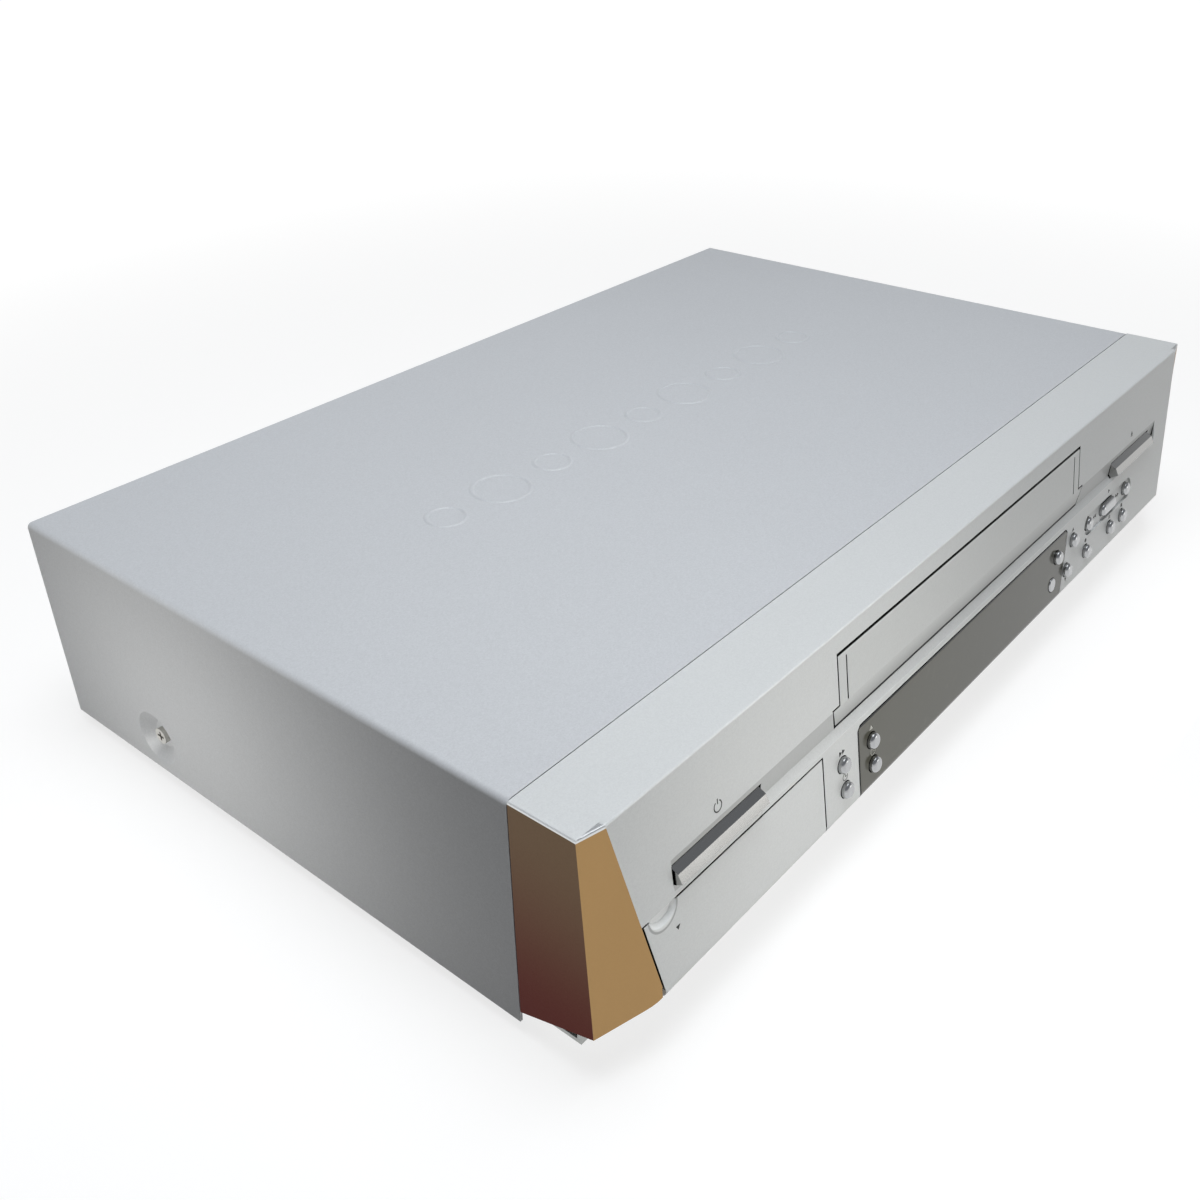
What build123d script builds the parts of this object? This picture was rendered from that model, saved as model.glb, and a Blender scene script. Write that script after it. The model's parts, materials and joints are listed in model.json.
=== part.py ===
from build123d import *
from math import atan2, cos, degrees, hypot, radians, sin, tan
import os

# Video cassette player, in millimetres
# X runs to the right seen from the front, Y to the rear, Z up.
# The origin is under the middle of the object, on the surface that its feet stand on.

# Overall sizes
cover_width = 430.0
cover_height = 84.3
cover_length = 239.9
panel_depth = 25.1
foot_drop = 5.0
socket_reach = 8.0

# Front panel form
face_lean = 8.9
toe_height = 16.9
toe_radius = 3.0
underside_rise = 19.3
panel_wall = 3.0
chamfer_width = 9.0
chamfer_depth = 2.1
chamfer_spread = 0.197
chamfer_run = 0.067
top_edge_radius = 0.7

# Sheets, seams and clearances
sheet = 1.0
cover_bend = 2.0
seam = 0.3
door_gap = 0.7
window_gap = 0.5
slide_gap = 0.3
running_gap = 0.05

# Band across the face, where both long buttons and the door's lip lie
band_top = 26.25
band_bottom = 37.0
band_depth = 1.6
band_ramp = 2.6
band_half = 183.5
power_button_ends = (-183.0, -140.0)
eject_button_ends = (133.0, 176.0)

# Long buttons: places down the face, and how far the ridge and the lower edge stand out of it
long_button_high = 29.1
long_button_ridge = 30.9
long_button_edge = 33.9
long_button_low = 35.0
long_ridge_proud = 1.5
long_edge_proud = 2.6
long_button_back = 7.0
long_button_gap = 0.7

# Cassette door
door_half = 94.8
door_top = 7.9
door_wall = 1.6
door_barrel = 1.4
lip_half_top = 98.9
lip_half_low = 96.2
lip_low = 33.7
groove_width = 0.7
pin_length = 2.4
door_pin_radius = 0.9

# Display window
window_half = 85.0
window_top = 39.9
window_corner = 1.6
window_slant = 7.0
window_foot = 68.2
window_thick = 1.5

# Flip-down jack door
jack_door_right = -107.2
jack_door_top = 39.3
jack_door_wall = 2.2
jack_pin_radius = 1.2
jack_pocket_depth = 9.0
jack_floor = 2.0

# Small round buttons
button_radius = 2.9
button_proud = 2.2
button_dome = 1.4
button_travel = 0.8
lowest_button = 59.0
reset_proud = 0.6
flange_radius = 4.3
flange_thick = 1.0
board_depth = 12.0
board_thick = 1.6

# Tape deck
deck_height = 17.0
deck_thick = 1.6
deck_half = 104.0
deck_front = 30.0
deck_rear = 236.0
reel_half = 46.0
reel_y = 100.0
reel_radius = 18.0
drum_y = 196.0
drum_radius = 31.0
drum_tilt = 5.0
holder_front = 12.0
holder_walls_front = 27.0
holder_rear = 68.0
holder_low = 48.7
holder_top = 78.7
cassette_half = 95.0

# Derived places
lean = radians(face_lean)
rise = radians(underside_rise)
top_z = foot_drop + cover_height
toe_z = foot_drop + toe_height


def panel_corner(inset):
    """Where the face and the underside meet, moved in by a wall, with y measured from the top front edge."""
    toe_y = -(top_z - toe_z) * tan(lean)
    face_start = -top_z * tan(lean) + inset / cos(lean)
    z = toe_z - (face_start - toe_y) * tan(rise) + inset / cos(rise)
    z = z / (1 + tan(lean) * tan(rise))
    return face_start + z * tan(lean), z


toe_centre_y, toe_centre_z = panel_corner(toe_radius)
low_edge = lowest_button + button_radius - button_dome
nose = low_edge * sin(lean) + (button_proud - button_dome) * cos(lean) + button_dome
total_depth = nose + panel_depth + cover_length + socket_reach
front_y = nose - total_depth / 2
parting_y = front_y + panel_depth
rear_y = parting_y + cover_length
hinge_y = front_y + toe_centre_y
hinge_z = toe_centre_z
cover_front_y = parting_y + seam

face_plane = Plane(
    origin=(0, front_y, top_z), x_dir=(1, 0, 0), z_dir=(0, -cos(lean), sin(lean))
)
face_axis = Axis((0, front_y, top_z), (0, -cos(lean), sin(lean)))


def from_front(distance):
    """Y of a point this far behind the panel's top front edge."""
    return front_y + distance


def above_base(height):
    """Z of a point this high above the cover's lower edge."""
    return foot_drop + height


def face_y(z, inset=0.0):
    """Y of the leaning face at a height, moved in by a wall."""
    return front_y - (top_z - z) * tan(lean) + inset / cos(lean)


def face_z(down):
    """Height of a point this far down the face."""
    return top_z - down * cos(lean)


def block(x, y, z, mode=Mode.ADD):
    """Box between the low and high value on each axis."""
    with Locations(((x[0] + x[1]) / 2, (y[0] + y[1]) / 2, (z[0] + z[1]) / 2)):
        Box(x[1] - x[0], y[1] - y[0], z[1] - z[0], mode=mode)


def rod_x(span, y, z, radius, mode=Mode.ADD):
    """Cylinder along X."""
    with BuildSketch(Plane.YZ.offset(span[0])) as outline:
        with Locations((y, z)):
            Circle(radius)
    extrude(outline.sketch, amount=span[1] - span[0], mode=mode)


def rod_y(span, x, z, radius, mode=Mode.ADD):
    """Cylinder along Y."""
    with BuildSketch(Plane.XZ.offset(-span[1])) as outline:
        with Locations((x, z)):
            Circle(radius)
    extrude(outline.sketch, amount=span[1] - span[0], mode=mode)


def rod_z(span, x, y, radius, mode=Mode.ADD):
    """Cylinder along Z."""
    with BuildSketch(Plane.XY.offset(span[0])) as outline:
        with Locations((x, y)):
            Circle(radius)
    extrude(outline.sketch, amount=span[1] - span[0], mode=mode)


def face_rod(x, down, depth, radius, mode=Mode.ADD):
    """Cylinder square to the face, between two depths behind it."""
    with BuildSketch(face_plane.offset(-depth[1])) as outline:
        with Locations((x, -down)):
            Circle(radius)
    extrude(outline.sketch, amount=depth[1] - depth[0], mode=mode)


def face_pill(x, down, depth, length, width, mode=Mode.ADD):
    """Round-ended bar along X, square to the face, between two depths behind it."""
    with BuildSketch(face_plane.offset(-depth[1])) as outline:
        with Locations((x, -down)):
            SlotOverall(length, width)
    extrude(outline.sketch, amount=depth[1] - depth[0], mode=mode)


def face_block(x, down, depth, mode=Mode.ADD):
    """Box square to the face, between two places down it and two depths behind it."""
    with BuildSketch(face_plane.offset(-depth[1])) as outline:
        with Locations(((x[0] + x[1]) / 2, -(down[0] + down[1]) / 2)):
            Rectangle(x[1] - x[0], down[1] - down[0])
    extrude(outline.sketch, amount=depth[1] - depth[0], mode=mode)


def side_profile(x_span, corners, radius=0.0, mode=Mode.ADD):
    """Prism along X of an outline in Y and Z, with its foremost corner rounded if asked."""
    with BuildSketch(Plane.YZ.offset(x_span[0])) as outline:
        with BuildLine():
            Polyline(*corners, close=True)
        make_face()
        if radius > 0.3:
            fillet(outline.vertices().sort_by(Axis.X)[0], radius)
    extrude(outline.sketch, amount=x_span[1] - x_span[0], mode=mode)


def front_shape(corners, y_span, mode=Mode.ADD):
    """Prism along Y of an outline in X and Z."""
    with BuildSketch(Plane.XZ.offset(-y_span[1])) as outline:
        with BuildLine():
            Polyline(*corners, close=True)
        make_face()
    extrude(outline.sketch, amount=y_span[1] - y_span[0], mode=mode)


def panel_prism(x_span, inset=0.0, back=parting_y, mode=Mode.ADD):
    """The panel's side outline moved in by a wall, run along X."""
    corner_y, corner_z = panel_corner(inset)
    under_z = corner_z - (back - front_y - corner_y) * tan(rise)
    corners = [
        (back, top_z - inset),
        (face_y(top_z - inset, inset), top_z - inset),
        (front_y + corner_y, corner_z),
        (back, under_z),
    ]
    side_profile(x_span, corners, toe_radius - inset, mode)


def skin_slab(x_span, thickness, z_top, y_back):
    """Piece of the panel's skin: the face below z_top, its rounded toe and the start of its underside."""
    beyond = (x_span[0] - 1, x_span[1] + 1)
    with BuildPart() as slab:
        panel_prism(x_span)
        panel_prism(beyond, thickness, parting_y + 1, Mode.SUBTRACT)
        block(beyond, (hinge_y - 20, y_back), (0, z_top), Mode.INTERSECT)
    return slab.part


def band_corners(inset=0.0):
    """Outline in Y and Z of the space in front of the band, or of the band moved in by a wall."""
    crease_z = face_z(band_top)
    ramp_z = face_z(band_bottom - band_ramp)
    low_z = face_z(band_bottom)
    crease_y = face_y(crease_z) + inset
    return [
        (crease_y, crease_z + inset),
        (face_y(ramp_z) + band_depth + inset, ramp_z),
        (face_y(low_z) + inset, low_z),
        (hinge_y - 20, low_z),
        (hinge_y - 20, crease_z + inset),
    ]


# Round buttons: x, and distance down the face
round_buttons = {
    "speed_button": (-95.4, 48.0),
    "timer_button": (-94.2, 58.4),
    "input_button": (-76.8, 49.3),
    "clock_button": (-76.2, lowest_button),
    "counter_button": (74.8, 48.2),
    "reset_button": (70.4, 58.8),
    "channel_up_button": (91.2, 47.2),
    "channel_down_button": (84.8, 58.2),
    "record_button": (105.6, 58.4),
    "pause_button": (132.4, 58.2),
    "stop_button": (146.6, 58.2),
    "rewind_button": (109.2, 47.4),
    "forward_button": (151.4, 47.4),
}
# Round-ended button: x, distance down the face, length
bar_buttons = {
    "play_button": (130.3, 47.4, 15.0),
}
transport_pill = (130.3, 47.4, 53.0, 9.4)
transport_pill_depth = 1.0
bar_button_width = 5.4

os.makedirs("parts", exist_ok=True)


def finish(piece, name):
    """Name a finished piece and write it."""
    piece.part.label = name
    export_step(piece.part, "parts/" + name + ".step")


# Skin pieces shared by the panel and what it carries
window_back_y = hinge_y + 2.0


def window_slab(thickness, clearance):
    """Slab in the window's outline: cut corners at the top, right end leaning in towards the toe."""
    wide = window_half + clearance
    high = face_z(window_top) + clearance
    cut = window_corner + clearance * (2 ** 0.5 - 1)
    corners = [
        (-wide, 0.0),
        (-wide, high - cut),
        (-wide + cut, high),
        (wide - cut, high),
        (wide, high - cut),
        (wide - 0.25 * window_slant, high - 10),
        (wide - window_slant, face_z(window_foot)),
        (wide - window_slant, 0.0),
    ]
    with BuildPart() as slab:
        add(skin_slab((-wide, wide), thickness, high, window_back_y + clearance))
        front_shape(corners, (hinge_y - 20, parting_y), Mode.INTERSECT)
    return slab.part


window_pane = window_slab(window_thick, 0.0)
window_seat = window_slab(window_thick + 0.1, window_gap)


def jack_left(z, clearance=0.0):
    """X of the jack door's left edge, which follows the panel's chamfer."""
    return -cover_width / 2 + chamfer_width + chamfer_spread * (top_z - z) + clearance


def jack_outline(clearance):
    """Jack door's outline in X and Z, grown by a clearance, from its hinge line up."""
    high = face_z(jack_door_top) + clearance
    return [
        (jack_left(hinge_z, door_gap - clearance), hinge_z),
        (jack_door_right + clearance, hinge_z),
        (jack_door_right + clearance, high),
        (jack_left(high, door_gap - clearance), high),
    ]


def door_outline(clearance):
    """Cassette door's outline in X and Z with its wider lip, grown by a clearance."""
    high = face_z(door_top) + clearance
    step = face_z(band_top) + clearance
    low = face_z(lip_low) - clearance
    right = [
        (door_half + clearance, high),
        (door_half + clearance, step),
        (lip_half_top + clearance, step),
        (lip_half_low + clearance, low),
    ]
    left = [(-x, z) for x, z in reversed(right)]
    return right + left


# Space that the closed jack door lies in
with BuildPart() as jack_seat:
    front_shape(jack_outline(door_gap), (hinge_y - 20, parting_y))
    panel_prism((-cover_width, cover_width), jack_door_wall + slide_gap, parting_y + 1, Mode.SUBTRACT)

# Cassette door hinge line
door_axis_z = face_z(door_top) - door_barrel
door_axis_y = face_y(door_axis_z, door_barrel)

# Front panel
half = cover_width / 2
with BuildPart() as front_panel:
    panel_prism((-half, half))
    # Hollow from behind, full width behind the chamfers and narrower in front of them
    panel_prism((-half + 29, half - 29), panel_wall, parting_y + 1, Mode.SUBTRACT)
    hollow_y = from_front(6.0)
    corner_y, corner_z = panel_corner(panel_wall)
    hollow = [
        (parting_y + 1, top_z - panel_wall),
        (hollow_y, top_z - panel_wall),
        (hollow_y, corner_z - (hollow_y - front_y - corner_y) * tan(rise)),
        (parting_y + 1, corner_z - (parting_y + 1 - front_y - corner_y) * tan(rise)),
    ]
    side_profile((-half + 2.4, half - 2.4), hollow, 0.0, Mode.SUBTRACT)
    # Walls of the pocket behind the jack door, and ribs for the hinge pins
    pocket_back = jack_pocket_depth + jack_floor
    face_block((-199.0, jack_door_right + 3.7), (37.4, 66.2), (2.9, pocket_back))
    # Posts that carry the front board and the jack board
    for x, down in ((-86.0, 53.5), (82.4, 51.0), (119.0, 56.0), (170.0, 45.0)):
        face_rod(x, down, (2.9, board_depth), 2.2)
    for x, down in ((-190.0, 31.5), (-109.0, 31.5)):
        face_rod(x, down, (2.9, 20.0), 2.2)
    # Tabs that slip over the bottom chassis
    for x in (-150.0, 0.0, 150.0):
        block((x - 8, x + 8), (parting_y - 4, parting_y + 7), (above_base(2.6), above_base(7.4)))
    # Chamfered ends, wider and deeper towards the toe
    for side in (-1, 1):
        levels = []
        for z in (top_z + 1, 0.0):
            drop = top_z - z
            outer = (side * half, front_y + chamfer_depth - chamfer_run * drop)
            inner_x = side * (half - chamfer_width - chamfer_spread * drop)
            inner = (inner_x, front_y - drop * tan(lean))
            dx = inner[0] - outer[0]
            dy = inner[1] - outer[1]
            start = (outer[0] - 0.4 * dx, outer[1] - 0.4 * dy)
            end = (inner[0] + 0.4 * dx, inner[1] + 0.4 * dy)
            levels.append([start, end, (start[0] + side * 3, end[1] - 3)])
        with BuildSketch(Plane.XY.offset(top_z + 1)):
            with BuildLine():
                Polyline(*levels[0], close=True)
            make_face()
        with BuildSketch(Plane.XY):
            with BuildLine():
                Polyline(*levels[1], close=True)
            make_face()
        loft(ruled=True, mode=Mode.SUBTRACT)
    # Rounded edge all round the top, apart from the seam with the cover
    rims = front_panel.edges().group_by(Axis.Z)[-1].sort_by(Axis.Y)[:-1]
    fillet(rims, top_edge_radius)
    # Band across the face
    side_profile((-band_half, band_half), band_corners(), 0.0, Mode.SUBTRACT)
    # Pockets of the long buttons
    for ends in (power_button_ends, eject_button_ends):
        pocket_x = (ends[0] - long_button_gap, ends[1] + long_button_gap)
        pocket_down = (long_button_high - long_button_gap, long_button_low + long_button_gap)
        face_block(pocket_x, pocket_down, (-6, 8), Mode.SUBTRACT)
    # Cassette opening
    front_shape(door_outline(door_gap), (hinge_y - 20, from_front(8.0)), Mode.SUBTRACT)
    pin_reach = door_half + pin_length + 0.3
    rod_x((-pin_reach, pin_reach), door_axis_y, door_axis_z, door_pin_radius + running_gap, Mode.SUBTRACT)
    # Seat of the display window, and the opening behind it
    add(window_seat, mode=Mode.SUBTRACT)
    face_block((-64.0, 63.0), (window_top + 3, 62.5), (-1, 5), Mode.SUBTRACT)
    # Jack door opening, its pocket and hinge holes
    add(jack_seat.part, mode=Mode.SUBTRACT)
    pocket_x = (jack_left(hinge_z) + 1.2, jack_door_right - 1.6)
    face_block(pocket_x, (jack_door_top + 0.6, 64.0), (-1, jack_pocket_depth), Mode.SUBTRACT)
    jack_ends = (jack_left(hinge_z, door_gap), jack_door_right)
    groove = (jack_ends[0] - 2 * door_gap, jack_ends[1] + door_gap)
    rod_x(groove, hinge_y, hinge_z, toe_radius + door_gap, Mode.SUBTRACT)
    pins = (jack_ends[0] - pin_length - 0.3, jack_ends[1] + pin_length + 0.3)
    rod_x(pins, hinge_y, hinge_z, jack_pin_radius + running_gap, Mode.SUBTRACT)
    for x in (-168.0, -152.0, -136.0):
        face_rod(x, 51.0, (5, pocket_back + 1), 4.6, Mode.SUBTRACT)
    # Pill-shaped recess of the transport buttons
    pill_x, pill_down, pill_long, pill_wide = transport_pill
    face_pill(pill_x, pill_down, (-1, transport_pill_depth), pill_long, pill_wide, Mode.SUBTRACT)
    # Button holes
    for x, down in round_buttons.values():
        face_rod(x, down, (-1, 6), button_radius + slide_gap, Mode.SUBTRACT)
    for x, down, length in bar_buttons.values():
        hole_long = length + 2 * slide_gap
        hole_wide = bar_button_width + 2 * slide_gap
        face_pill(x, down, (-1, 6), hole_long, hole_wide, Mode.SUBTRACT)
finish(front_panel, "front_panel")

# Display window
with BuildPart() as display_window:
    add(window_pane)
    for name in ("input_button", "clock_button", "counter_button", "reset_button"):
        x, down = round_buttons[name]
        face_rod(x, down, (-1, 6), button_radius + slide_gap, Mode.SUBTRACT)
finish(display_window, "display_window")

# Cassette door
crease_z = face_z(band_top)
with BuildPart() as cassette_door:
    panel_prism((-half, half))
    side_profile((-half, half), band_corners(), 0.0, Mode.SUBTRACT)
    inner_crease_y = face_y(crease_z) + door_wall
    inside = [
        (face_y(top_z + 2, door_wall), top_z + 2),
        (inner_crease_y, crease_z),
        (inner_crease_y, 0.0),
        (parting_y + 1, 0.0),
        (parting_y + 1, top_z + 2),
    ]
    side_profile((-half - 1, half + 1), inside, 0.0, Mode.SUBTRACT)
    front_shape(door_outline(0.0), (hinge_y - 20, parting_y), Mode.INTERSECT)
    block((-half, half), (hinge_y - 20, parting_y), (0, door_axis_z), Mode.INTERSECT)
    rod_x((-door_half, door_half), door_axis_y, door_axis_z, door_barrel)
    pin_end = door_half + pin_length
    rod_x((-pin_end, pin_end), door_axis_y, door_axis_z, door_pin_radius)
    for side in (-1, 1):
        x = side * (door_half - 4.9)
        groove_x = (x - groove_width / 2, x + groove_width / 2)
        face_block(groove_x, (door_top + 2.2, band_top), (-1, 0.5), Mode.SUBTRACT)
finish(cassette_door, "cassette_door")

# Jack door
scoop_x = jack_left(face_z(jack_door_top)) + 9.0
with BuildPart() as jack_door:
    panel_prism((-half, half))
    panel_prism((-half - 1, half + 1), jack_door_wall, parting_y + 1, Mode.SUBTRACT)
    front_shape(jack_outline(0.0), (hinge_y - 20, parting_y), Mode.INTERSECT)
    rod_x(jack_ends, hinge_y, hinge_z, toe_radius)
    rod_x(
        (jack_ends[0] - pin_length, jack_ends[1] + pin_length), hinge_y, hinge_z, jack_pin_radius
    )
    # Thumb scoop at the top left, its walls sloping in to a smooth floor
    for level, wide, high in ((0.4, 6.6, 5.2), (-1.3, 4.7, 3.4)):
        with BuildSketch(face_plane.offset(level)):
            with Locations((scoop_x, -jack_door_top)):
                Ellipse(wide, high)
    loft(mode=Mode.SUBTRACT)
finish(jack_door, "jack_door")

# Long buttons in the band: a steep upper facet, then a front facet that stands out towards its lower edge
for ends, name in ((power_button_ends, "power_button"), (eject_button_ends, "eject_button")):
    x_low, x_high = ends
    high = long_button_high
    low = long_button_low
    section = []
    for down, depth in (
        (high, 1.2),
        (long_button_ridge, -long_ridge_proud),
        (long_button_edge, -long_edge_proud),
        (low, -0.2),
        (low, long_button_back),
        (high, long_button_back),
    ):
        y = front_y - down * sin(lean) + depth * cos(lean)
        z = top_z - down * cos(lean) - depth * sin(lean)
        section.append((y, z))
    with BuildPart() as long_button:
        side_profile((x_low, x_high), section)
        # Retaining flange behind the panel's wall
        face_block(
            (x_low - 1.6, x_high + 1.6), (high - 1.2, low + 1.2), (panel_wall + 0.25, panel_wall + 1.35)
        )
        face_rod((x_low + x_high) / 2, (high + low) / 2, (long_button_back, 8.4), 2.2)
    finish(long_button, name)

# Round and round-ended buttons with their retaining flanges and stems
pill_names = ("rewind_button", "play_button", "forward_button")
stem_end = 6.6
for name, (x, down) in round_buttons.items():
    sunk = transport_pill_depth if name in pill_names else 0.0
    proud = reset_proud if name == "reset_button" else button_proud
    with BuildPart() as button:
        face_rod(x, down, (sunk - proud, panel_wall + flange_thick), button_radius)
        rounding = min(button_dome, proud)
        fillet(button.edges().filter_by(GeomType.CIRCLE).sort_by(face_axis)[-1], rounding)
        face_rod(
            x, down, (panel_wall + 0.25, panel_wall + 0.25 + flange_thick), flange_radius
        )
        face_rod(x, down, (panel_wall, stem_end), 1.6)
    finish(button, name)
for name, (x, down, length) in bar_buttons.items():
    sunk = transport_pill_depth if name in pill_names else 0.0
    with BuildPart() as button:
        face_pill(
            x, down, (sunk - button_proud, panel_wall + flange_thick), length, bar_button_width
        )
        fillet(button.edges().group_by(face_axis)[-1], button_dome)
        face_pill(
            x,
            down,
            (panel_wall + 0.25, panel_wall + 0.25 + flange_thick),
            length + 2.2,
            bar_button_width + 2.2,
        )
        face_rod(x, down, (panel_wall, stem_end), 1.6)
    finish(button, name)

# Key switches, one under each button
jack_board_depth = 20.0
switch_top = stem_end + button_travel + 0.15
with BuildPart() as key_switches:
    places = [(x, down) for x, down in round_buttons.values()]
    places += [(x, down) for x, down, length in bar_buttons.values()]
    for x, down in places:
        face_block((x - 3, x + 3), (down - 3, down + 3), (board_depth - 3.2, board_depth))
        face_rod(x, down, (switch_top, board_depth - 3.2), 1.7)
    long_down = (long_button_high + long_button_low) / 2
    long_top = 8.4 + button_travel + 0.15
    for ends, shoulder, back in (
        (eject_button_ends, long_top + 0.8, board_depth),
        (power_button_ends, 11.6, jack_board_depth),
    ):
        x = (ends[0] + ends[1]) / 2
        face_block((x - 3, x + 3), (long_down - 3, long_down + 3), (shoulder, back))
        face_rod(x, long_down, (long_top, shoulder), 1.7)
finish(key_switches, "key_switches")

# Display module: glass envelope on its foot behind the window
with BuildPart() as display_module:
    face_block((-62.0, 62.0), (43.0, 61.0), (5.2, 8.4))
    face_block((-66.0, 66.0), (41.5, 62.5), (8.4, board_depth))
finish(display_module, "display_module")

# Jack blocks: one held on the front jack board, one on the main board at the rear
socket_x = (-168.0, -152.0, -136.0)
socket_down = 51.0
sleeve_radius = 4.15
insert_radius = 3.4
bore_radius = 1.7
rear_socket_x = (34.0, 50.0, 66.0)
rear_socket_z = (above_base(26.0), above_base(44.0))
rear_face_y = rear_y - sheet - 0.1
rear_panel_y = (rear_face_y - sheet, rear_face_y)
rear_block_y = (rear_y - 14.0, rear_panel_y[0] - 0.1)
sleeve_end_y = rear_y + 6.0
front_sleeve = (3.8, pocket_back + 0.1)
board_z = (above_base(8.0), above_base(8.0) + board_thick)
with BuildPart() as jack_blocks:
    front_block_x = (socket_x[0] - 7.5, socket_x[2] + 7.5)
    front_block_depth = (pocket_back + 0.1, jack_board_depth)
    face_block(front_block_x, (socket_down - 7, socket_down + 7), front_block_depth)
    rear_block_x = (rear_socket_x[0] - 8, rear_socket_x[2] + 8)
    block(rear_block_x, rear_block_y, (board_z[1], above_base(52.0)))
finish(jack_blocks, "jack_blocks")

# Metal sockets: sleeves on the jack blocks, and threaded sockets on the tuner can
antenna_places = [(x, z) for x in (150.0, 174.0) for z in (above_base(24.0), above_base(48.0))]
antenna_radius = 4.75
antenna_nut = 1.6
with BuildPart() as metal_sockets:
    for x in socket_x:
        face_rod(x, socket_down, front_sleeve, sleeve_radius)
        face_rod(x, socket_down, front_sleeve, insert_radius, Mode.SUBTRACT)
    for x in rear_socket_x:
        for z in rear_socket_z:
            rod_y((rear_block_y[1], sleeve_end_y), x, z, sleeve_radius)
            rod_y((rear_block_y[1], sleeve_end_y), x, z, insert_radius, Mode.SUBTRACT)
    for x, z in antenna_places:
        rod_y((rear_block_y[1], rear_y + socket_reach), x, z, antenna_radius)
        rod_y((rear_face_y + 0.1, rear_y + antenna_nut), x, z, antenna_radius + 1.5)
        rod_y((rear_y, rear_y + socket_reach + 1), x, z, 3.4, Mode.SUBTRACT)
        rod_y((rear_y - 1, rear_y + socket_reach - 0.8), x, z, 2.6)
        rod_y((rear_y, rear_y + socket_reach), x, z, 0.6, Mode.SUBTRACT)
finish(metal_sockets, "metal_sockets")

# Coloured inserts in the sleeves, one column each
insert_names = ("video_inserts", "left_audio_inserts", "right_audio_inserts")
for name, front_x, rear_x in zip(insert_names, socket_x, rear_socket_x):
    with BuildPart() as inserts:
        front_insert = (front_sleeve[0] + 0.6, front_sleeve[1])
        face_rod(front_x, socket_down, front_insert, insert_radius)
        face_rod(front_x, socket_down, front_insert, bore_radius, Mode.SUBTRACT)
        for z in rear_socket_z:
            rod_y((rear_block_y[1], sleeve_end_y - 0.6), rear_x, z, insert_radius)
            rod_y((rear_block_y[1], sleeve_end_y - 0.6), rear_x, z, bore_radius, Mode.SUBTRACT)
    finish(inserts, name)

# Cord bushing
bushing_x = -176.0
bushing_z = above_base(20.0)
bushing_radius = 6.0
with BuildPart() as cord_bushing:
    rod_y((rear_y - 6.0, rear_y + 3.0), bushing_x, bushing_z, bushing_radius)
    rod_y((rear_face_y + 0.1, rear_y + 1.6), bushing_x, bushing_z, bushing_radius + 2)
    rod_y((rear_block_y[1] - 2.2, rear_block_y[1]), bushing_x, bushing_z, bushing_radius + 1.2)
    rod_y((rear_y - 7.0, rear_y + 4.0), bushing_x, bushing_z, 3.4, Mode.SUBTRACT)
finish(cord_bushing, "cord_bushing")

# Rear panel
screw_radius = 1.5
head_radius = 3.2
head_height = 2.0
rear_screw_x = (-190.0, 0.0, 190.0)
rear_screw_z = top_z - 6.5
flange_drop = 11.0
with BuildPart() as rear_panel:
    block((-half + 3, half - 3), rear_panel_y, (above_base(1.0), top_z - 2.2))
    for x, z in antenna_places:
        rod_y((rear_y - 3, rear_y), x, z, antenna_radius + slide_gap, Mode.SUBTRACT)
    for x in rear_socket_x:
        for z in rear_socket_z:
            rod_y((rear_y - 3, rear_y), x, z, sleeve_radius + slide_gap, Mode.SUBTRACT)
    rod_y((rear_y - 3, rear_y), bushing_x, bushing_z, bushing_radius + 0.02, Mode.SUBTRACT)
    for x in rear_screw_x:
        rod_y((rear_y - 3, rear_y), x, rear_screw_z, screw_radius + running_gap, Mode.SUBTRACT)
    with BuildSketch(Plane.XZ.offset(-rear_y)):
        with Locations((-90.0, above_base(45.0))):
            with GridLocations(7.0, 24.0, 9, 2):
                SlotOverall(20.0, 2.6, rotation=90)
    extrude(amount=4, mode=Mode.SUBTRACT)
finish(rear_panel, "rear_panel")

# Top cover
dimple_y = from_front(206.0)
dimple_z = above_base(14.7)
dimple_depth = 3.5
dimple_radius = 11.0
dimple_floor = 5.5
ring_count = 9
ring_pitch = 29.0
ring_height = 0.35
ring_half_width = 1.0
ring_radii = (7.3, 11.3)


def ring_bead(radius):
    """Ring with a low rounded crown, sunk a little way into the sheet at z = 0."""
    with BuildPart() as bead:
        with BuildSketch(Plane.XZ) as crown:
            with BuildLine():
                inner = (radius - ring_half_width, 0)
                outer = (radius + ring_half_width, 0)
                ThreePointArc(inner, (radius, ring_height), outer)
                Polyline(outer, (outer[0], -0.2), (inner[0], -0.2), inner)
            make_face()
        revolve(crown.sketch, Axis.Z)
    return bead.part


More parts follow.
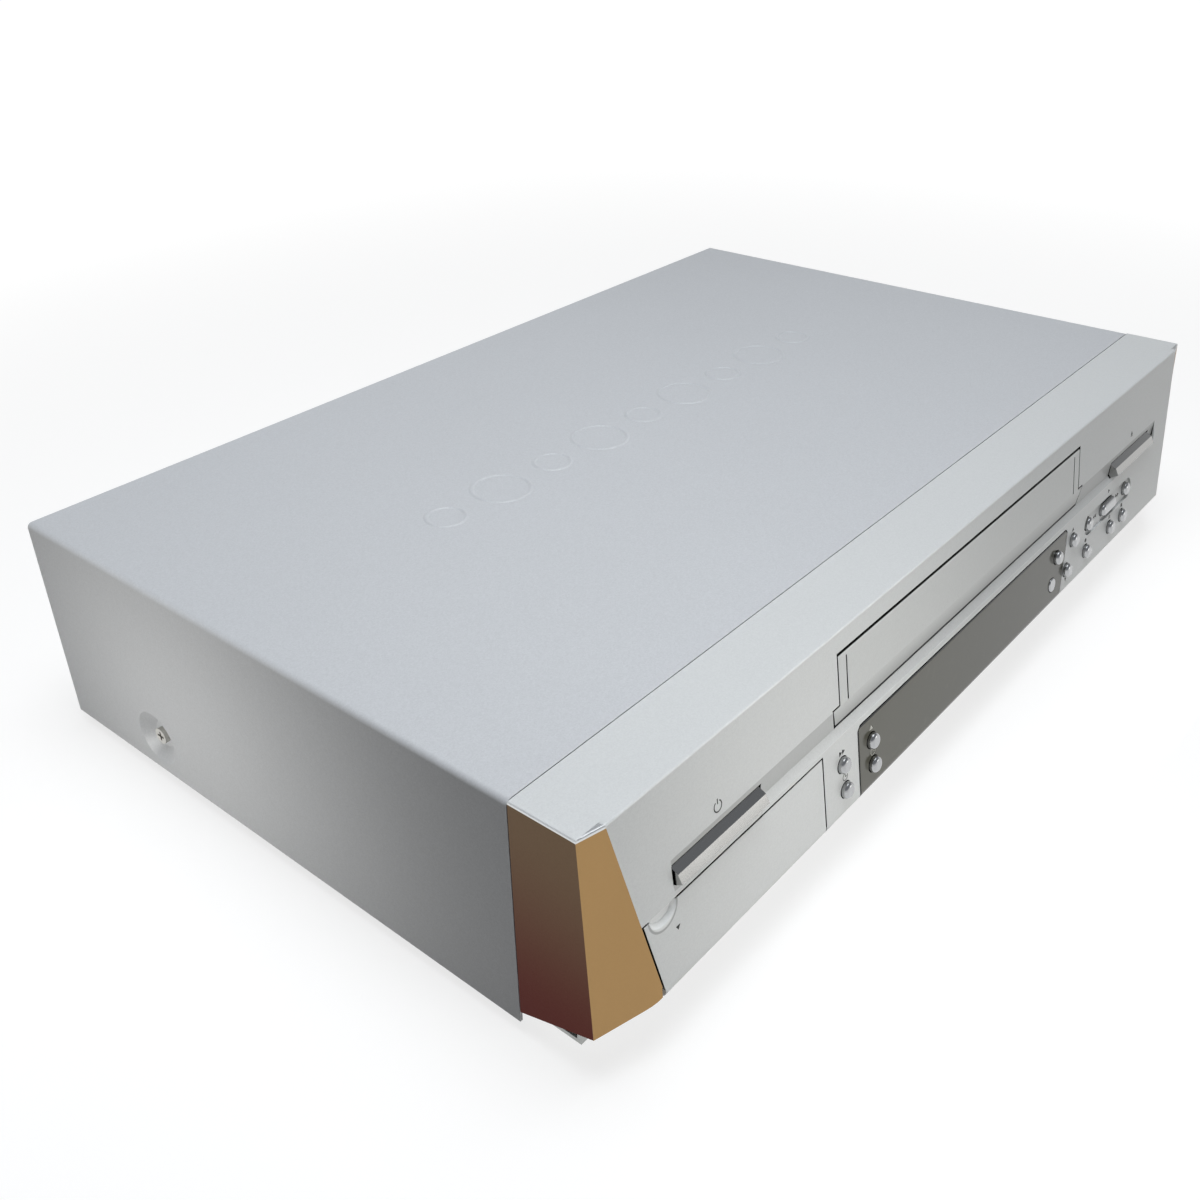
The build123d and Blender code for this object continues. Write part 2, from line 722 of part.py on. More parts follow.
with BuildPart() as top_cover:
    with BuildSketch(Plane.XZ.offset(-rear_y)) as fold:
        with Locations((0, foot_drop)):
            Rectangle(cover_width, cover_height, align=(Align.CENTER, Align.MIN))
        fillet(fold.vertices().group_by(Axis.Y)[-1], cover_bend)
        with Locations((0, foot_drop - 1)):
            Rectangle(
                cover_width - 2 * sheet,
                cover_height - sheet + 1,
                align=(Align.CENTER, Align.MIN),
                mode=Mode.SUBTRACT,
            )
    extrude(amount=rear_y - cover_front_y)
    flange_z = (top_z - sheet - flange_drop, top_z - sheet)
    block((-half + sheet, half - sheet), (rear_y - sheet, rear_y), flange_z)
    for side in (-1, 1):
        with Locations(Location((side * half, dimple_y, dimple_z), (0, -90 * side, 0))):
            Cone(
                dimple_radius + 0.8,
                dimple_floor + 0.8,
                dimple_depth + sheet,
                align=(Align.CENTER, Align.CENTER, Align.MIN),
            )
        with Locations(Location((side * half, dimple_y, dimple_z), (0, -90 * side, 0))):
            Cone(
                dimple_radius,
                dimple_floor,
                dimple_depth,
                align=(Align.CENTER, Align.CENTER, Align.MIN),
                mode=Mode.SUBTRACT,
            )
    rod_x((-half - 1, -half + 6), dimple_y, dimple_z, screw_radius + running_gap, Mode.SUBTRACT)
    rod_x((half - 6, half + 1), dimple_y, dimple_z, screw_radius + running_gap, Mode.SUBTRACT)
    for x in rear_screw_x:
        rod_y((rear_y - 3, rear_y + 1), x, rear_screw_z, screw_radius + running_gap, Mode.SUBTRACT)
    # Low embossed rings, large and small in turn
    for index in range(ring_count):
        ring = ring_bead(ring_radii[index % 2])
        ring_x = (index - (ring_count - 1) / 2) * ring_pitch
        add(ring.moved(Location((ring_x, from_front(148.0), top_z))))
finish(top_cover, "top_cover")

# Cover screws, in the side dimples and along the rear flange
shank_length = 8.0
with BuildPart() as cover_screws:
    for side in (-1, 1):
        seat_x = side * (half - dimple_depth)
        head = sorted((seat_x, seat_x + side * head_height))
        rod_x(head, dimple_y, dimple_z, head_radius)
        shank = sorted((seat_x, seat_x - side * shank_length))
        rod_x(shank, dimple_y, dimple_z, screw_radius)
        cross = sorted((seat_x + side * (head_height - 1.1), seat_x + side * (head_height + 1)))
        block(cross, (dimple_y - 1.9, dimple_y + 1.9), (dimple_z - 0.45, dimple_z + 0.45), Mode.SUBTRACT)
        block(cross, (dimple_y - 0.45, dimple_y + 0.45), (dimple_z - 1.9, dimple_z + 1.9), Mode.SUBTRACT)
    for x in rear_screw_x:
        rod_y((rear_y, rear_y + head_height), x, rear_screw_z, head_radius)
        rod_y((rear_y - shank_length + 2, rear_y), x, rear_screw_z, screw_radius)
        cross = (rear_y + head_height - 1.1, rear_y + head_height + 1)
        block((x - 1.9, x + 1.9), cross, (rear_screw_z - 0.45, rear_screw_z + 0.45), Mode.SUBTRACT)
        block((x - 0.45, x + 0.45), cross, (rear_screw_z - 1.9, rear_screw_z + 1.9), Mode.SUBTRACT)
finish(cover_screws, "cover_screws")

# Bottom chassis: floor, side flanges, front lip, and posts for the deck and the boards
floor_z = (above_base(1.0), above_base(2.5))
flange_x = half - dimple_depth - sheet - 0.1
deck_z = (above_base(deck_height), above_base(deck_height) + deck_thick)
deck_post_y = (from_front(deck_front + 5), from_front(deck_rear - 5))
deck_posts = [(x, y) for x in (-deck_half + 8, deck_half - 8) for y in deck_post_y]
main_board_x = (109.0, 206.0)
power_board_x = (-206.0, -109.0)
board_y = (from_front(60.0), rear_block_y[1] - 0.4)
post_inset = 5.0
board_posts = []
for span in (main_board_x, power_board_x):
    for x in (span[0] + post_inset, span[1] - post_inset):
        for y in (board_y[0] + post_inset, board_y[1] - 38):
            board_posts.append((x, y))
with BuildPart() as bottom_chassis:
    block((-flange_x, flange_x), (from_front(6.0), rear_panel_y[0]), floor_z)
    block((-flange_x, flange_x), (from_front(6.0), from_front(7.5)), (floor_z[0], above_base(6.5)))
    for side in (-1, 1):
        x = sorted((side * flange_x, side * (flange_x - 1.2)))
        block(x, (parting_y + 1.5, rear_panel_y[0]), (floor_z[0], above_base(24.0)))
        rod_x((x[0] - 1, x[1] + 1), dimple_y, dimple_z, screw_radius + 0.02, Mode.SUBTRACT)
    for x, y in deck_posts:
        rod_z((floor_z[1] - 0.2, deck_z[0]), x, y, 4.0)
    for x, y in board_posts:
        rod_z((floor_z[1] - 0.2, board_z[0]), x, y, 3.0)
    for side in (-1, 1):
        with BuildSketch(Plane.XY.offset(floor_z[0] - 1)):
            with Locations((side * 160.0, from_front(170.0))):
                with GridLocations(10.0, 40.0, 7, 2):
                    SlotOverall(30.0, 3.0, rotation=90)
        extrude(amount=5, mode=Mode.SUBTRACT)
finish(bottom_chassis, "bottom_chassis")

# Feet
foot_radius = 11.0
foot_places = [(x, y) for x in (-168.0, 168.0) for y in (from_front(36.0), rear_y - 30)]
with BuildPart() as feet:
    for x, y in foot_places:
        with BuildSketch(Plane.XY):
            with Locations((x, y)):
                Circle(foot_radius - 1.0)
        with BuildSketch(Plane.XY.offset(floor_z[0])):
            with Locations((x, y)):
                Circle(foot_radius)
        loft()
finish(feet, "feet")

# Circuit boards: front, jack, power and main, the main one with a branch to the rear jacks
with BuildPart() as circuit_boards:
    front_span = (board_depth, board_depth + board_thick)
    face_block((-99.5, 178.0), (40.0, 65.0), front_span)
    face_block((128.0, 178.0), (27.0, 41.0), front_span)
    face_block((-196.0, -106.0), (27.0, 65.0), (jack_board_depth, jack_board_depth + board_thick))
    block(power_board_x, board_y, board_z)
    block(main_board_x, board_y, board_z)
    block((20.0, main_board_x[0] + 0.1), (from_front(239.0), board_y[1]), board_z)
finish(circuit_boards, "circuit_boards")

# Transformer: laminated core and winding
with BuildPart() as transformer:
    block((-190.0, -150.0), (from_front(160.0), from_front(196.0)), (board_z[1], board_z[1] + 30))
    block((-184.0, -156.0), (from_front(157.0), from_front(199.0)), (board_z[1] + 5, board_z[1] + 25))
finish(transformer, "transformer")

# Tuner can, shield can and finned heat sink
with BuildPart() as cans_and_heat_sink:
    block((138.0, 186.0), (rear_y - 30, rear_block_y[1]), (board_z[1], above_base(60.0)))
    block((160.0, 200.0), (from_front(196.0), from_front(222.0)), (board_z[1], board_z[1] + 14))
    block((-146.0, -144.0), (from_front(158.0), from_front(200.0)), (board_z[1], board_z[1] + 34))
    for index in range(6):
        y = from_front(159.0 + index * 8)
        block((-144.1, -132.0), (y, y + 1.2), (board_z[1], board_z[1] + 34))
finish(cans_and_heat_sink, "cans_and_heat_sink")

# Capacitors and chips on both boards
with BuildPart() as board_components:
    for x, y, radius, height in (
        (-175.0, 120.0, 11.0, 34.0),
        (-195.0, 142.0, 6.0, 16.0),
        (-130.0, 118.0, 6.5, 20.0),
        (-130.0, 138.0, 6.5, 20.0),
        (196.0, 90.0, 4.0, 10.0),
        (124.0, 120.0, 3.2, 8.0),
    ):
        rod_z((board_z[1], board_z[1] + height), x, from_front(y), radius)
    for x, y, wide, deep in (
        (150.0, 150.0, 22.0, 22.0),
        (180.0, 140.0, 14.0, 14.0),
        (140.0, 185.0, 16.0, 10.0),
        (150.0, 80.0, 18.0, 12.0),
    ):
        chip_y = (from_front(y) - deep / 2, from_front(y) + deep / 2)
        block((x - wide / 2, x + wide / 2), chip_y, (board_z[1], board_z[1] + 2.4))
finish(board_components, "board_components")

# Deck plate
capstan_x = 62.0
capstan_y = from_front(168.0)
clutch_y = from_front(70.0)
drum_centre_y = from_front(drum_y)
guide_x = 44.0
guide_rest_y = from_front(140.0)
guide_travel = 62.0
slot_width = 4.0
cam_x = 76.0
cam_y = from_front(66.0)
gear_module = 0.8
cam_teeth = 48
pinion_teeth = 12
gear_distance = gear_module * (cam_teeth + pinion_teeth) / 2 + 0.12
pinion_y = cam_y - gear_distance
tension_pivot = (-80.0, from_front(128.0))
pinch_pivot = (88.0, from_front(172.0))
impedance_place = (-62.0, from_front(178.0))
stub_radius = 1.5
with BuildPart() as deck_plate:
    block((-deck_half, deck_half), (from_front(deck_front), from_front(deck_rear)), deck_z)
    fillet(deck_plate.edges().filter_by(Axis.Z), 4.0)
    rod_z((0, 60), 0, drum_centre_y, 21.0, Mode.SUBTRACT)
    rod_z((0, 60), 0, clutch_y, 3.4, Mode.SUBTRACT)
    rod_z((0, 60), cam_x, pinion_y, 4.0, Mode.SUBTRACT)
    for side in (-1, 1):
        block(
            (side * guide_x - slot_width / 2, side * guide_x + slot_width / 2),
            (guide_rest_y - 5, guide_rest_y + guide_travel + 5),
            (0, 60),
            Mode.SUBTRACT,
        )
    # Fixed spindles
    for x, y, height in (
        (-reel_half, from_front(reel_y), 38.0),
        (reel_half, from_front(reel_y), 38.0),
        (cam_x, cam_y, 25.0),
        (tension_pivot[0], tension_pivot[1], 24.0),
        (pinch_pivot[0], pinch_pivot[1], 27.0),
        (impedance_place[0], impedance_place[1], 46.0),
    ):
        rod_z((deck_z[1] - 0.2, above_base(height)), x, y, stub_radius)
    # Boss that the capstan's shaft runs in
    rod_z((above_base(14.2), above_base(24.0)), capstan_x, capstan_y, 4.7)
    rod_z((deck_z[1], above_base(21.5)), capstan_x, capstan_y, 9.0)
    rod_z((0, 90), capstan_x, capstan_y, stub_radius + running_gap, Mode.SUBTRACT)
finish(deck_plate, "deck_plate")

# Reels on their spindles
for side, name in ((-1, "supply_reel"), (1, "takeup_reel")):
    x = side * reel_half
    y = from_front(reel_y)
    with BuildPart() as reel:
        rod_z((above_base(19.2), above_base(23.5)), x, y, reel_radius)
        rod_z((above_base(23.5), above_base(26.0)), x, y, 13.0)
        rod_z((above_base(26.0), above_base(36.5)), x, y, 5.0)
        for turn in range(3):
            angle = radians(90 + 120 * turn)
            fin_x = x + 6.6 * cos(angle)
            fin_y = y + 6.6 * sin(angle)
            with Locations(Location((fin_x, fin_y, above_base(30.0)), (0, 0, degrees(angle)))):
                Box(5.2, 1.6, 8.1)
        rod_z((0, 90), x, y, stub_radius + running_gap, Mode.SUBTRACT)
    finish(reel, name)

# Clutch pulley, and the idler arm that swings on its shaft with the wheel that it drives
idler_radius = 14.0
clutch_disc_radius = 13.7
idler_y = clutch_y + idler_radius + clutch_disc_radius + slide_gap
idler_z = (above_base(24.6), above_base(26.4))
with BuildPart() as idler_arm:
    rod_z(idler_z, 0, clutch_y, 5.0)
    block((-3.0, 3.0), (clutch_y, idler_y), idler_z)
    rod_z(idler_z, 0, idler_y, 4.0)
    rod_z((above_base(19.4), idler_z[0] + 0.2), 0, idler_y, stub_radius)
    rod_z((0, 90), 0, clutch_y, stub_radius + running_gap, Mode.SUBTRACT)
finish(idler_arm, "idler_arm")
with BuildPart() as idler_wheel:
    rod_z((above_base(20.0), above_base(23.2)), 0, idler_y, idler_radius)
    rod_z((above_base(23.2), above_base(24.3)), 0, idler_y, 3.0)
    rod_z((0, 90), 0, idler_y, stub_radius + running_gap, Mode.SUBTRACT)
finish(idler_wheel, "idler_wheel")

clutch_radius = 12.0
capstan_pulley_radius = 6.0
belt_z = (above_base(9.8), above_base(13.2))
with BuildPart() as clutch_pulley:
    rod_z((belt_z[0] - 0.8, belt_z[0]), 0, clutch_y, clutch_radius + 1.5)
    rod_z((belt_z[0], belt_z[1]), 0, clutch_y, clutch_radius)
    rod_z((belt_z[1], belt_z[1] + 0.8), 0, clutch_y, clutch_radius + 1.5)
    rod_z((belt_z[1], above_base(21.5)), 0, clutch_y, 3.0)
    rod_z((deck_z[1] + 0.5, above_base(22.5)), 0, clutch_y, clutch_disc_radius)
    rod_z((above_base(22.5), above_base(24.3)), 0, clutch_y, 3.0)
    rod_z((above_base(24.3), above_base(27.4)), 0, clutch_y, stub_radius)
finish(clutch_pulley, "clutch_pulley")

# Capstan: shaft with its flywheel and pulley
with BuildPart() as capstan:
    rod_z((above_base(5.0), above_base(50.0)), capstan_x, capstan_y, stub_radius)
    rod_z((above_base(4.0), above_base(8.8)), capstan_x, capstan_y, 22.0)
    rod_z((above_base(8.8), above_base(13.6)), capstan_x, capstan_y, capstan_pulley_radius)
finish(capstan, "capstan")

# Flat belt from the capstan's pulley to the clutch pulley
belt_gap = 0.3
belt_thick = 0.9
run = hypot(capstan_x, capstan_y - clutch_y)
belt_small = capstan_pulley_radius + belt_gap
belt_large = clutch_radius + belt_gap


def belt_loop(grow):
    """Outline of the belt: both pulleys' circles and the straight runs between them."""
    small = belt_small + grow
    large = belt_large + grow
    line_angle = atan2(capstan_y - clutch_y, capstan_x)
    swing = atan2((run**2 - (large - small) ** 2) ** 0.5, large - small)
    points = []
    for angle in (line_angle + swing, line_angle - swing):
        big = (large * cos(angle), clutch_y + large * sin(angle))
        little = (capstan_x + small * cos(angle), capstan_y + small * sin(angle))
        points.append((big, little))
    return points, small, large


with BuildPart() as reel_belt:
    for grow, mode in ((belt_thick, Mode.ADD), (0.0, Mode.SUBTRACT)):
        (left, right), small, large = belt_loop(grow)
        with BuildSketch(Plane.XY.offset(belt_z[0] + 0.3)):
            with BuildLine():
                Polyline(left[0], left[1], right[1], right[0], close=True)
            make_face()
            with Locations((0, clutch_y)):
                Circle(large)
            with Locations((capstan_x, capstan_y)):
                Circle(small)
        extrude(amount=belt_z[1] - belt_z[0] - 0.6, mode=mode)
finish(reel_belt, "reel_belt")

# Pinch arm and roller
pinch_length = 26.1
pinch_rest = radians(226.6)
pinch_x = pinch_pivot[0] + pinch_length * cos(pinch_rest)
pinch_y = pinch_pivot[1] + pinch_length * sin(pinch_rest)
with BuildPart() as pinch_arm:
    arm_z = (above_base(21.8), above_base(24.8))
    rod_z(arm_z, pinch_pivot[0], pinch_pivot[1], 5.5)
    rod_z(arm_z, pinch_x, pinch_y, 4.5)
    middle = ((pinch_pivot[0] + pinch_x) / 2, (pinch_pivot[1] + pinch_y) / 2)
    with Locations(Location((middle[0], middle[1], sum(arm_z) / 2), (0, 0, degrees(pinch_rest)))):
        Box(pinch_length, 7.0, arm_z[1] - arm_z[0])
    rod_z((arm_z[0], above_base(44.0)), pinch_x, pinch_y, 1.5)
    rod_z((0, 90), pinch_pivot[0], pinch_pivot[1], stub_radius + running_gap, Mode.SUBTRACT)
finish(pinch_arm, "pinch_arm")
pinch_radius = 8.0
with BuildPart() as pinch_roller:
    rod_z((above_base(28.0), above_base(42.0)), pinch_x, pinch_y, pinch_radius)
    rod_z((above_base(25.2), above_base(43.5)), pinch_x, pinch_y, 3.0)
    rod_z((0, 90), pinch_x, pinch_y, 1.5 + running_gap, Mode.SUBTRACT)
finish(pinch_roller, "pinch_roller")

# Head drum on a tilted plane, so its shaft leans to the rear
drum_plane = Plane(
    origin=(0, drum_centre_y, above_base(24.0)),
    x_dir=(1, 0, 0),
    z_dir=(0, sin(radians(drum_tilt)), cos(radians(drum_tilt))),
)
drum_shaft = 3.0


def drum_rod(span, radius, mode=Mode.ADD):
    """Cylinder on the drum's axis between two heights on it."""
    with BuildSketch(drum_plane.offset(span[0])) as outline:
        Circle(radius)
    extrude(outline.sketch, amount=span[1] - span[0], mode=mode)


with BuildPart() as lower_drum:
    # Seat on the deck, cut along the tilted plane and open below for the rotor
    rod_z((deck_z[1], above_base(32.0)), 0, drum_centre_y, drum_radius + 3)
    drum_rod((0, 30), 60, Mode.SUBTRACT)
    drum_rod((-30, 10), 22.0, Mode.SUBTRACT)
    drum_rod((-0.1, 15), drum_radius)
    drum_rod((-3.6, 0), 8.0)
    # Ledge that guides the tape's lower edge
    drum_rod((4, 5), drum_radius + 0.5)
    drum_rod((-10, 20), drum_shaft + running_gap, Mode.SUBTRACT)
finish(lower_drum, "lower_drum")
with BuildPart() as upper_drum:
    drum_rod((15.4, 29), drum_radius)
    drum_rod((26, 30), 24.0, Mode.SUBTRACT)
    drum_rod((15.4, 30.5), 10.0)
    for turn in range(4):
        angle = radians(90 * turn)
        with BuildSketch(drum_plane.offset(15)):
            with Locations(((drum_radius - 0.6) * cos(angle), (drum_radius - 0.6) * sin(angle))):
                Rectangle(4.0, 4.0, rotation=90 * turn)
        extrude(amount=2.4, mode=Mode.SUBTRACT)
    # Shaft down through the lower drum to the motor's rotor
    drum_rod((-11, 33), drum_shaft)
    drum_rod((-11.5, -6.5), 17.0)
    drum_rod((-10.0, -6.0), 15.0, Mode.SUBTRACT)
    drum_rod((-11.5, -4.5), 5.0)
finish(upper_drum, "upper_drum")

# Tape guides on their bases, which slide in the deck's slots
for side, name in ((-1, "supply_guide"), (1, "takeup_guide")):
    x = side * guide_x
    with BuildPart() as guide:
        block((x - 6, x + 6), (guide_rest_y - 4.5, guide_rest_y + 4.5), (deck_z[1] + 0.1, above_base(22.0)))
        block(
            (x - slot_width / 2 + slide_gap, x + slot_width / 2 - slide_gap),
            (guide_rest_y - 4.0, guide_rest_y + 4.0),
            (above_base(15.6), deck_z[1] + 0.2),
        )
        rod_z((above_base(22.0), above_base(47.0)), x, guide_rest_y, 1.4)
        rod_z((above_base(27.0), above_base(45.0)), x, guide_rest_y, 3.0)
        rod_z((above_base(25.6), above_base(27.0)), x, guide_rest_y, 3.8)
        rod_z((above_base(45.0), above_base(46.4)), x, guide_rest_y, 3.8)
    finish(guide, name)

# Tension arm
with BuildPart() as tension_arm:
    arm_z = (above_base(19.6), above_base(21.6))
    post = (-62.0, from_front(146.0))
    rod_z(arm_z, tension_pivot[0], tension_pivot[1], 4.5)
    rod_z(arm_z, post[0], post[1], 3.2)
    arm_turn = atan2(post[1] - tension_pivot[1], post[0] - tension_pivot[0])
    arm_length = hypot(post[1] - tension_pivot[1], post[0] - tension_pivot[0])
    middle = ((post[0] + tension_pivot[0]) / 2, (post[1] + tension_pivot[1]) / 2)
    with Locations(Location((middle[0], middle[1], sum(arm_z) / 2), (0, 0, degrees(arm_turn)))):
        Box(arm_length, 4.5, arm_z[1] - arm_z[0])
    rod_z((arm_z[0], above_base(45.0)), post[0], post[1], 1.5)
    rod_z((0, 90), tension_pivot[0], tension_pivot[1], stub_radius + running_gap, Mode.SUBTRACT)
finish(tension_arm, "tension_arm")
# Impedance roller on its spindle
with BuildPart() as impedance_roller:
    rod_z((above_base(27.0), above_base(44.0)), impedance_place[0], impedance_place[1], 5.0)
    rod_z((above_base(18.9), above_base(27.0)), impedance_place[0], impedance_place[1], 3.0)
    impedance_bore = stub_radius + running_gap
    rod_z((0, 90), impedance_place[0], impedance_place[1], impedance_bore, Mode.SUBTRACT)
finish(impedance_roller, "impedance_roller")

# Heads on their bases: erasing at the left, sound and control at the right
with BuildPart() as tape_heads:
    block((-78.0, -66.0), (from_front(160.0), from_front(168.0)), (deck_z[1], above_base(24.0)))
    block((-76.0, -68.0), (from_front(161.0), from_front(167.0)), (above_base(24.0), above_base(44.0)))
    block((58.0, 82.0), (from_front(186.0), from_front(202.0)), (deck_z[1], above_base(22.0)))
    block((60.0, 70.0), (from_front(188.0), from_front(198.0)), (above_base(22.0), above_base(45.0)))
finish(tape_heads, "tape_heads")

# Loading motor, pinion and cam gear


def gear_outline(teeth, centre, phase):
    """Corners of a straight-sided gear: four to a tooth."""
    pitch = gear_module * teeth / 2
    tip = pitch + gear_module * 0.9
    root = pitch - gear_module * 1.15
    step = 360.0 / teeth
    corners = []
    for index in range(teeth):
        for radius, share in ((root, -0.33), (tip, -0.11), (tip, 0.11), (root, 0.33)):
            angle = radians(phase + (index + share) * step)
            corners.append((centre[0] + radius * cos(angle), centre[1] + radius * sin(angle)))
    return corners


cam_z = (above_base(19.2), above_base(23.0))
with BuildPart() as cam_gear:
    with BuildSketch(Plane.XY.offset(cam_z[0])):
        with BuildLine():
            Polyline(*gear_outline(cam_teeth, (cam_x, cam_y), -90.0), close=True)
        make_face()
    extrude(amount=cam_z[1] - cam_z[0])
    rod_z((cam_z[1], cam_z[1] + 1.2), cam_x, cam_y, 6.0)
    rod_z((0, 90), cam_x, cam_y, stub_radius + running_gap, Mode.SUBTRACT)
finish(cam_gear, "cam_gear")
motor_z = (above_base(4.5), deck_z[0])
with BuildPart() as motor_pinion:
    with BuildSketch(Plane.XY.offset(cam_z[0] + 0.3)):
        with BuildLine():
            pinion_phase = 90.0 + 180.0 / pinion_teeth
            Polyline(*gear_outline(pinion_teeth, (cam_x, pinion_y), pinion_phase), close=True)
        make_face()
    extrude(amount=cam_z[1] - cam_z[0])
    rod_z((motor_z[1] - 6, cam_z[0] + 0.4), cam_x, pinion_y, 1.0)
finish(motor_pinion, "motor_pinion")
with BuildPart() as loading_motor:
    rod_z(motor_z, cam_x, pinion_y, 9.5)
    rod_z((motor_z[1] - 6.5, motor_z[1] + 1), cam_x, pinion_y, 1.0 + running_gap, Mode.SUBTRACT)
finish(loading_motor, "loading_motor")

# Cassette carriage: side plates on the deck, sliders between them, and the holder in the sliders
load_travel = 84.0
drop_travel = 22.0
pin_radius = 1.5
rail_z = above_base(74.0)
rail_pins = (from_front(33.0), from_front(60.0))
drop_pins = (from_front(34.0), from_front(59.0))
drop_z = above_base(54.0)
slot_clear = pin_radius + slide_gap
wall_x = (cassette_half, cassette_half + 1.2)
slider_x = (wall_x[1] + slide_gap, wall_x[1] + slide_gap + 1.2)
plate_span = (slider_x[1] + slide_gap, slider_x[1] + slide_gap + 1.2)
plate_y = (from_front(deck_front), from_front(holder_rear + load_travel + 6))
with BuildPart() as side_plates:
    for side in (-1, 1):
        x = sorted((side * plate_span[0], side * plate_span[1]))
        block(x, plate_y, (deck_z[1], above_base(80.0)))
        foot_x = sorted((side * plate_span[0], side * (plate_span[1] + 4)))
        block(foot_x, plate_y, (deck_z[1], deck_z[1] + 1.2))
        with BuildSketch(Plane.YZ.offset(x[0] - 1)):
            with Locations(((rail_pins[0] + rail_pins[1] + load_travel) / 2, rail_z)):
                rail_length = rail_pins[1] - rail_pins[0] + load_travel + 2 * slot_clear
                SlotOverall(rail_length, 2 * slot_clear)
            with Locations(((plate_y[0] + plate_y[1]) / 2, above_base(48.0))):
                RectangleRounded(plate_y[1] - plate_y[0] - 30, 26.0, 4.0)
        extrude(amount=4, mode=Mode.SUBTRACT)
finish(side_plates, "side_plates")

slider_y = (from_front(holder_walls_front + 1), from_front(holder_rear))
bar_z = (above_base(79.6), above_base(81.0))
with BuildPart() as carriage_sliders:
    for side in (-1, 1):
        x = sorted((side * slider_x[0], side * slider_x[1]))
        block(x, slider_y, (above_base(29.0), bar_z[1]))
        for y in drop_pins:
            with BuildSketch(Plane.YZ.offset(x[0] - 1)):
                with Locations((y, drop_z - drop_travel / 2)):
                    SlotOverall(drop_travel + 2 * slot_clear, 2 * slot_clear, rotation=90)
            extrude(amount=4, mode=Mode.SUBTRACT)
        pin_x = sorted((side * slider_x[1], side * plate_span[1]))
        for y in rail_pins:
            rod_x(pin_x, y, rail_z, pin_radius)
    block((-slider_x[1], slider_x[1]), (from_front(58.0), from_front(66.0)), bar_z)
finish(carriage_sliders, "carriage_sliders")

ledge = 1.0
ledge_reach = 22.0
ledge_rear = 58.0
with BuildPart() as cassette_holder:
    top_span = (above_base(holder_top) - 1.2, above_base(holder_top))
    block((-wall_x[1], wall_x[1]), (from_front(holder_front), from_front(holder_rear)), top_span)
    for side in (-1, 1):
        x = sorted((side * wall_x[0], side * wall_x[1]))
        low = above_base(holder_low)
        block(x, (from_front(holder_walls_front), from_front(holder_rear)), (low, top_span[1]))
        shelf = sorted((side * (wall_x[0] - ledge_reach), side * wall_x[1]))
        block(shelf, (from_front(holder_walls_front), from_front(ledge_rear)), (low, low + ledge))
        pin_x = sorted((side * wall_x[1], side * slider_x[1]))
        for y in drop_pins:
            rod_x(pin_x, y, drop_z, pin_radius)
    # Stop tab at the rear, and two openings in the top plate
    bow_y = (from_front(holder_rear - 1.2), from_front(holder_rear))
    block((-26.0, 26.0), bow_y, (above_base(66.0), top_span[1]))
    for x in (-55.0, 55.0):
        with BuildSketch(Plane.XY.offset(top_span[0] - 1)):
            with Locations((x, from_front(40.0))):
                RectangleRounded(50.0, 26.0, 4.0)
        extrude(amount=4, mode=Mode.SUBTRACT)
finish(cassette_holder, "cassette_holder")

print("front edge y", round(front_y, 4), "rear y", round(rear_y, 4), "depth", round(total_depth, 4))
print("jack hinge", round(hinge_y, 4), round(hinge_z, 4))
print("door hinge", round(door_axis_y, 4), round(door_axis_z, 4))
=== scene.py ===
import json
import math

import bpy
import numpy as np
from mathutils import Matrix, Vector


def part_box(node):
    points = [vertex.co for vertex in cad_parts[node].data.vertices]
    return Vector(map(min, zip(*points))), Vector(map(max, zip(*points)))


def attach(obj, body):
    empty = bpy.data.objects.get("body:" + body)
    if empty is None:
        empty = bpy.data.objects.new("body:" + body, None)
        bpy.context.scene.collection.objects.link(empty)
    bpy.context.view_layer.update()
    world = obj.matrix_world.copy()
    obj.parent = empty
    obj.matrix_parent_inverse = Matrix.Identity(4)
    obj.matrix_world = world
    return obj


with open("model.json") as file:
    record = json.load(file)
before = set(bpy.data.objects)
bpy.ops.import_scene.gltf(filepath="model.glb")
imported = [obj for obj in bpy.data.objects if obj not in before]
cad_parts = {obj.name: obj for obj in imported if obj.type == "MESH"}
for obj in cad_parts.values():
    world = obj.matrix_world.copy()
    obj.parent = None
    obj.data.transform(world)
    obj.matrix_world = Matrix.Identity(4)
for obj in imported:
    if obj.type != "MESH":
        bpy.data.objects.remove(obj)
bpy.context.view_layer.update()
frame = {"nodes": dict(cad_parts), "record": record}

nodes = frame["nodes"]

# Places on the player, in metres: the ends come from the frame, the front panel's own sizes from the part
MM = 0.001
panel_depth = 25.1 * MM
seam = 0.3 * MM
cover_low, cover_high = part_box("top_cover")
front_y = cover_low[1] - (panel_depth + seam)
rear_y = cover_high[1]
top_z = 89.3 * MM
base_z = 5.0 * MM
lean = math.radians(8.9)
half_width = 215.0 * MM
flat_low_z = 24.2 * MM

# Chamfered ends of the panel: width and depth at the top, and what each metre down adds to them
chamfer_width = 9.0 * MM
chamfer_depth = 2.12 * MM
chamfer_spread = 0.197
chamfer_run = 0.0667

# Band across the face, where both long buttons lie: places down the face, half width and depth
band_top = 26.25 * MM
band_ramp = 34.4 * MM
band_bottom = 37.0 * MM
band_half = 183.5 * MM
band_depth = 1.6 * MM

# Recess of the transport buttons: its reach down and across the face, and its depth
pill_down = (42.6 * MM, 52.2 * MM)
pill_across = (103.5 * MM, 157.1 * MM)
pill_depth = 1.0 * MM

# Flip-down door: its top down the face, how far that lies below the panel's top, and its thumb scoop's middle
jack_door_top = 39.3 * MM
jack_door_drop = 38.8 * MM
scoop_inset = 9.0 * MM
scoop_x = chamfer_width + chamfer_spread * jack_door_drop + scoop_inset - half_width


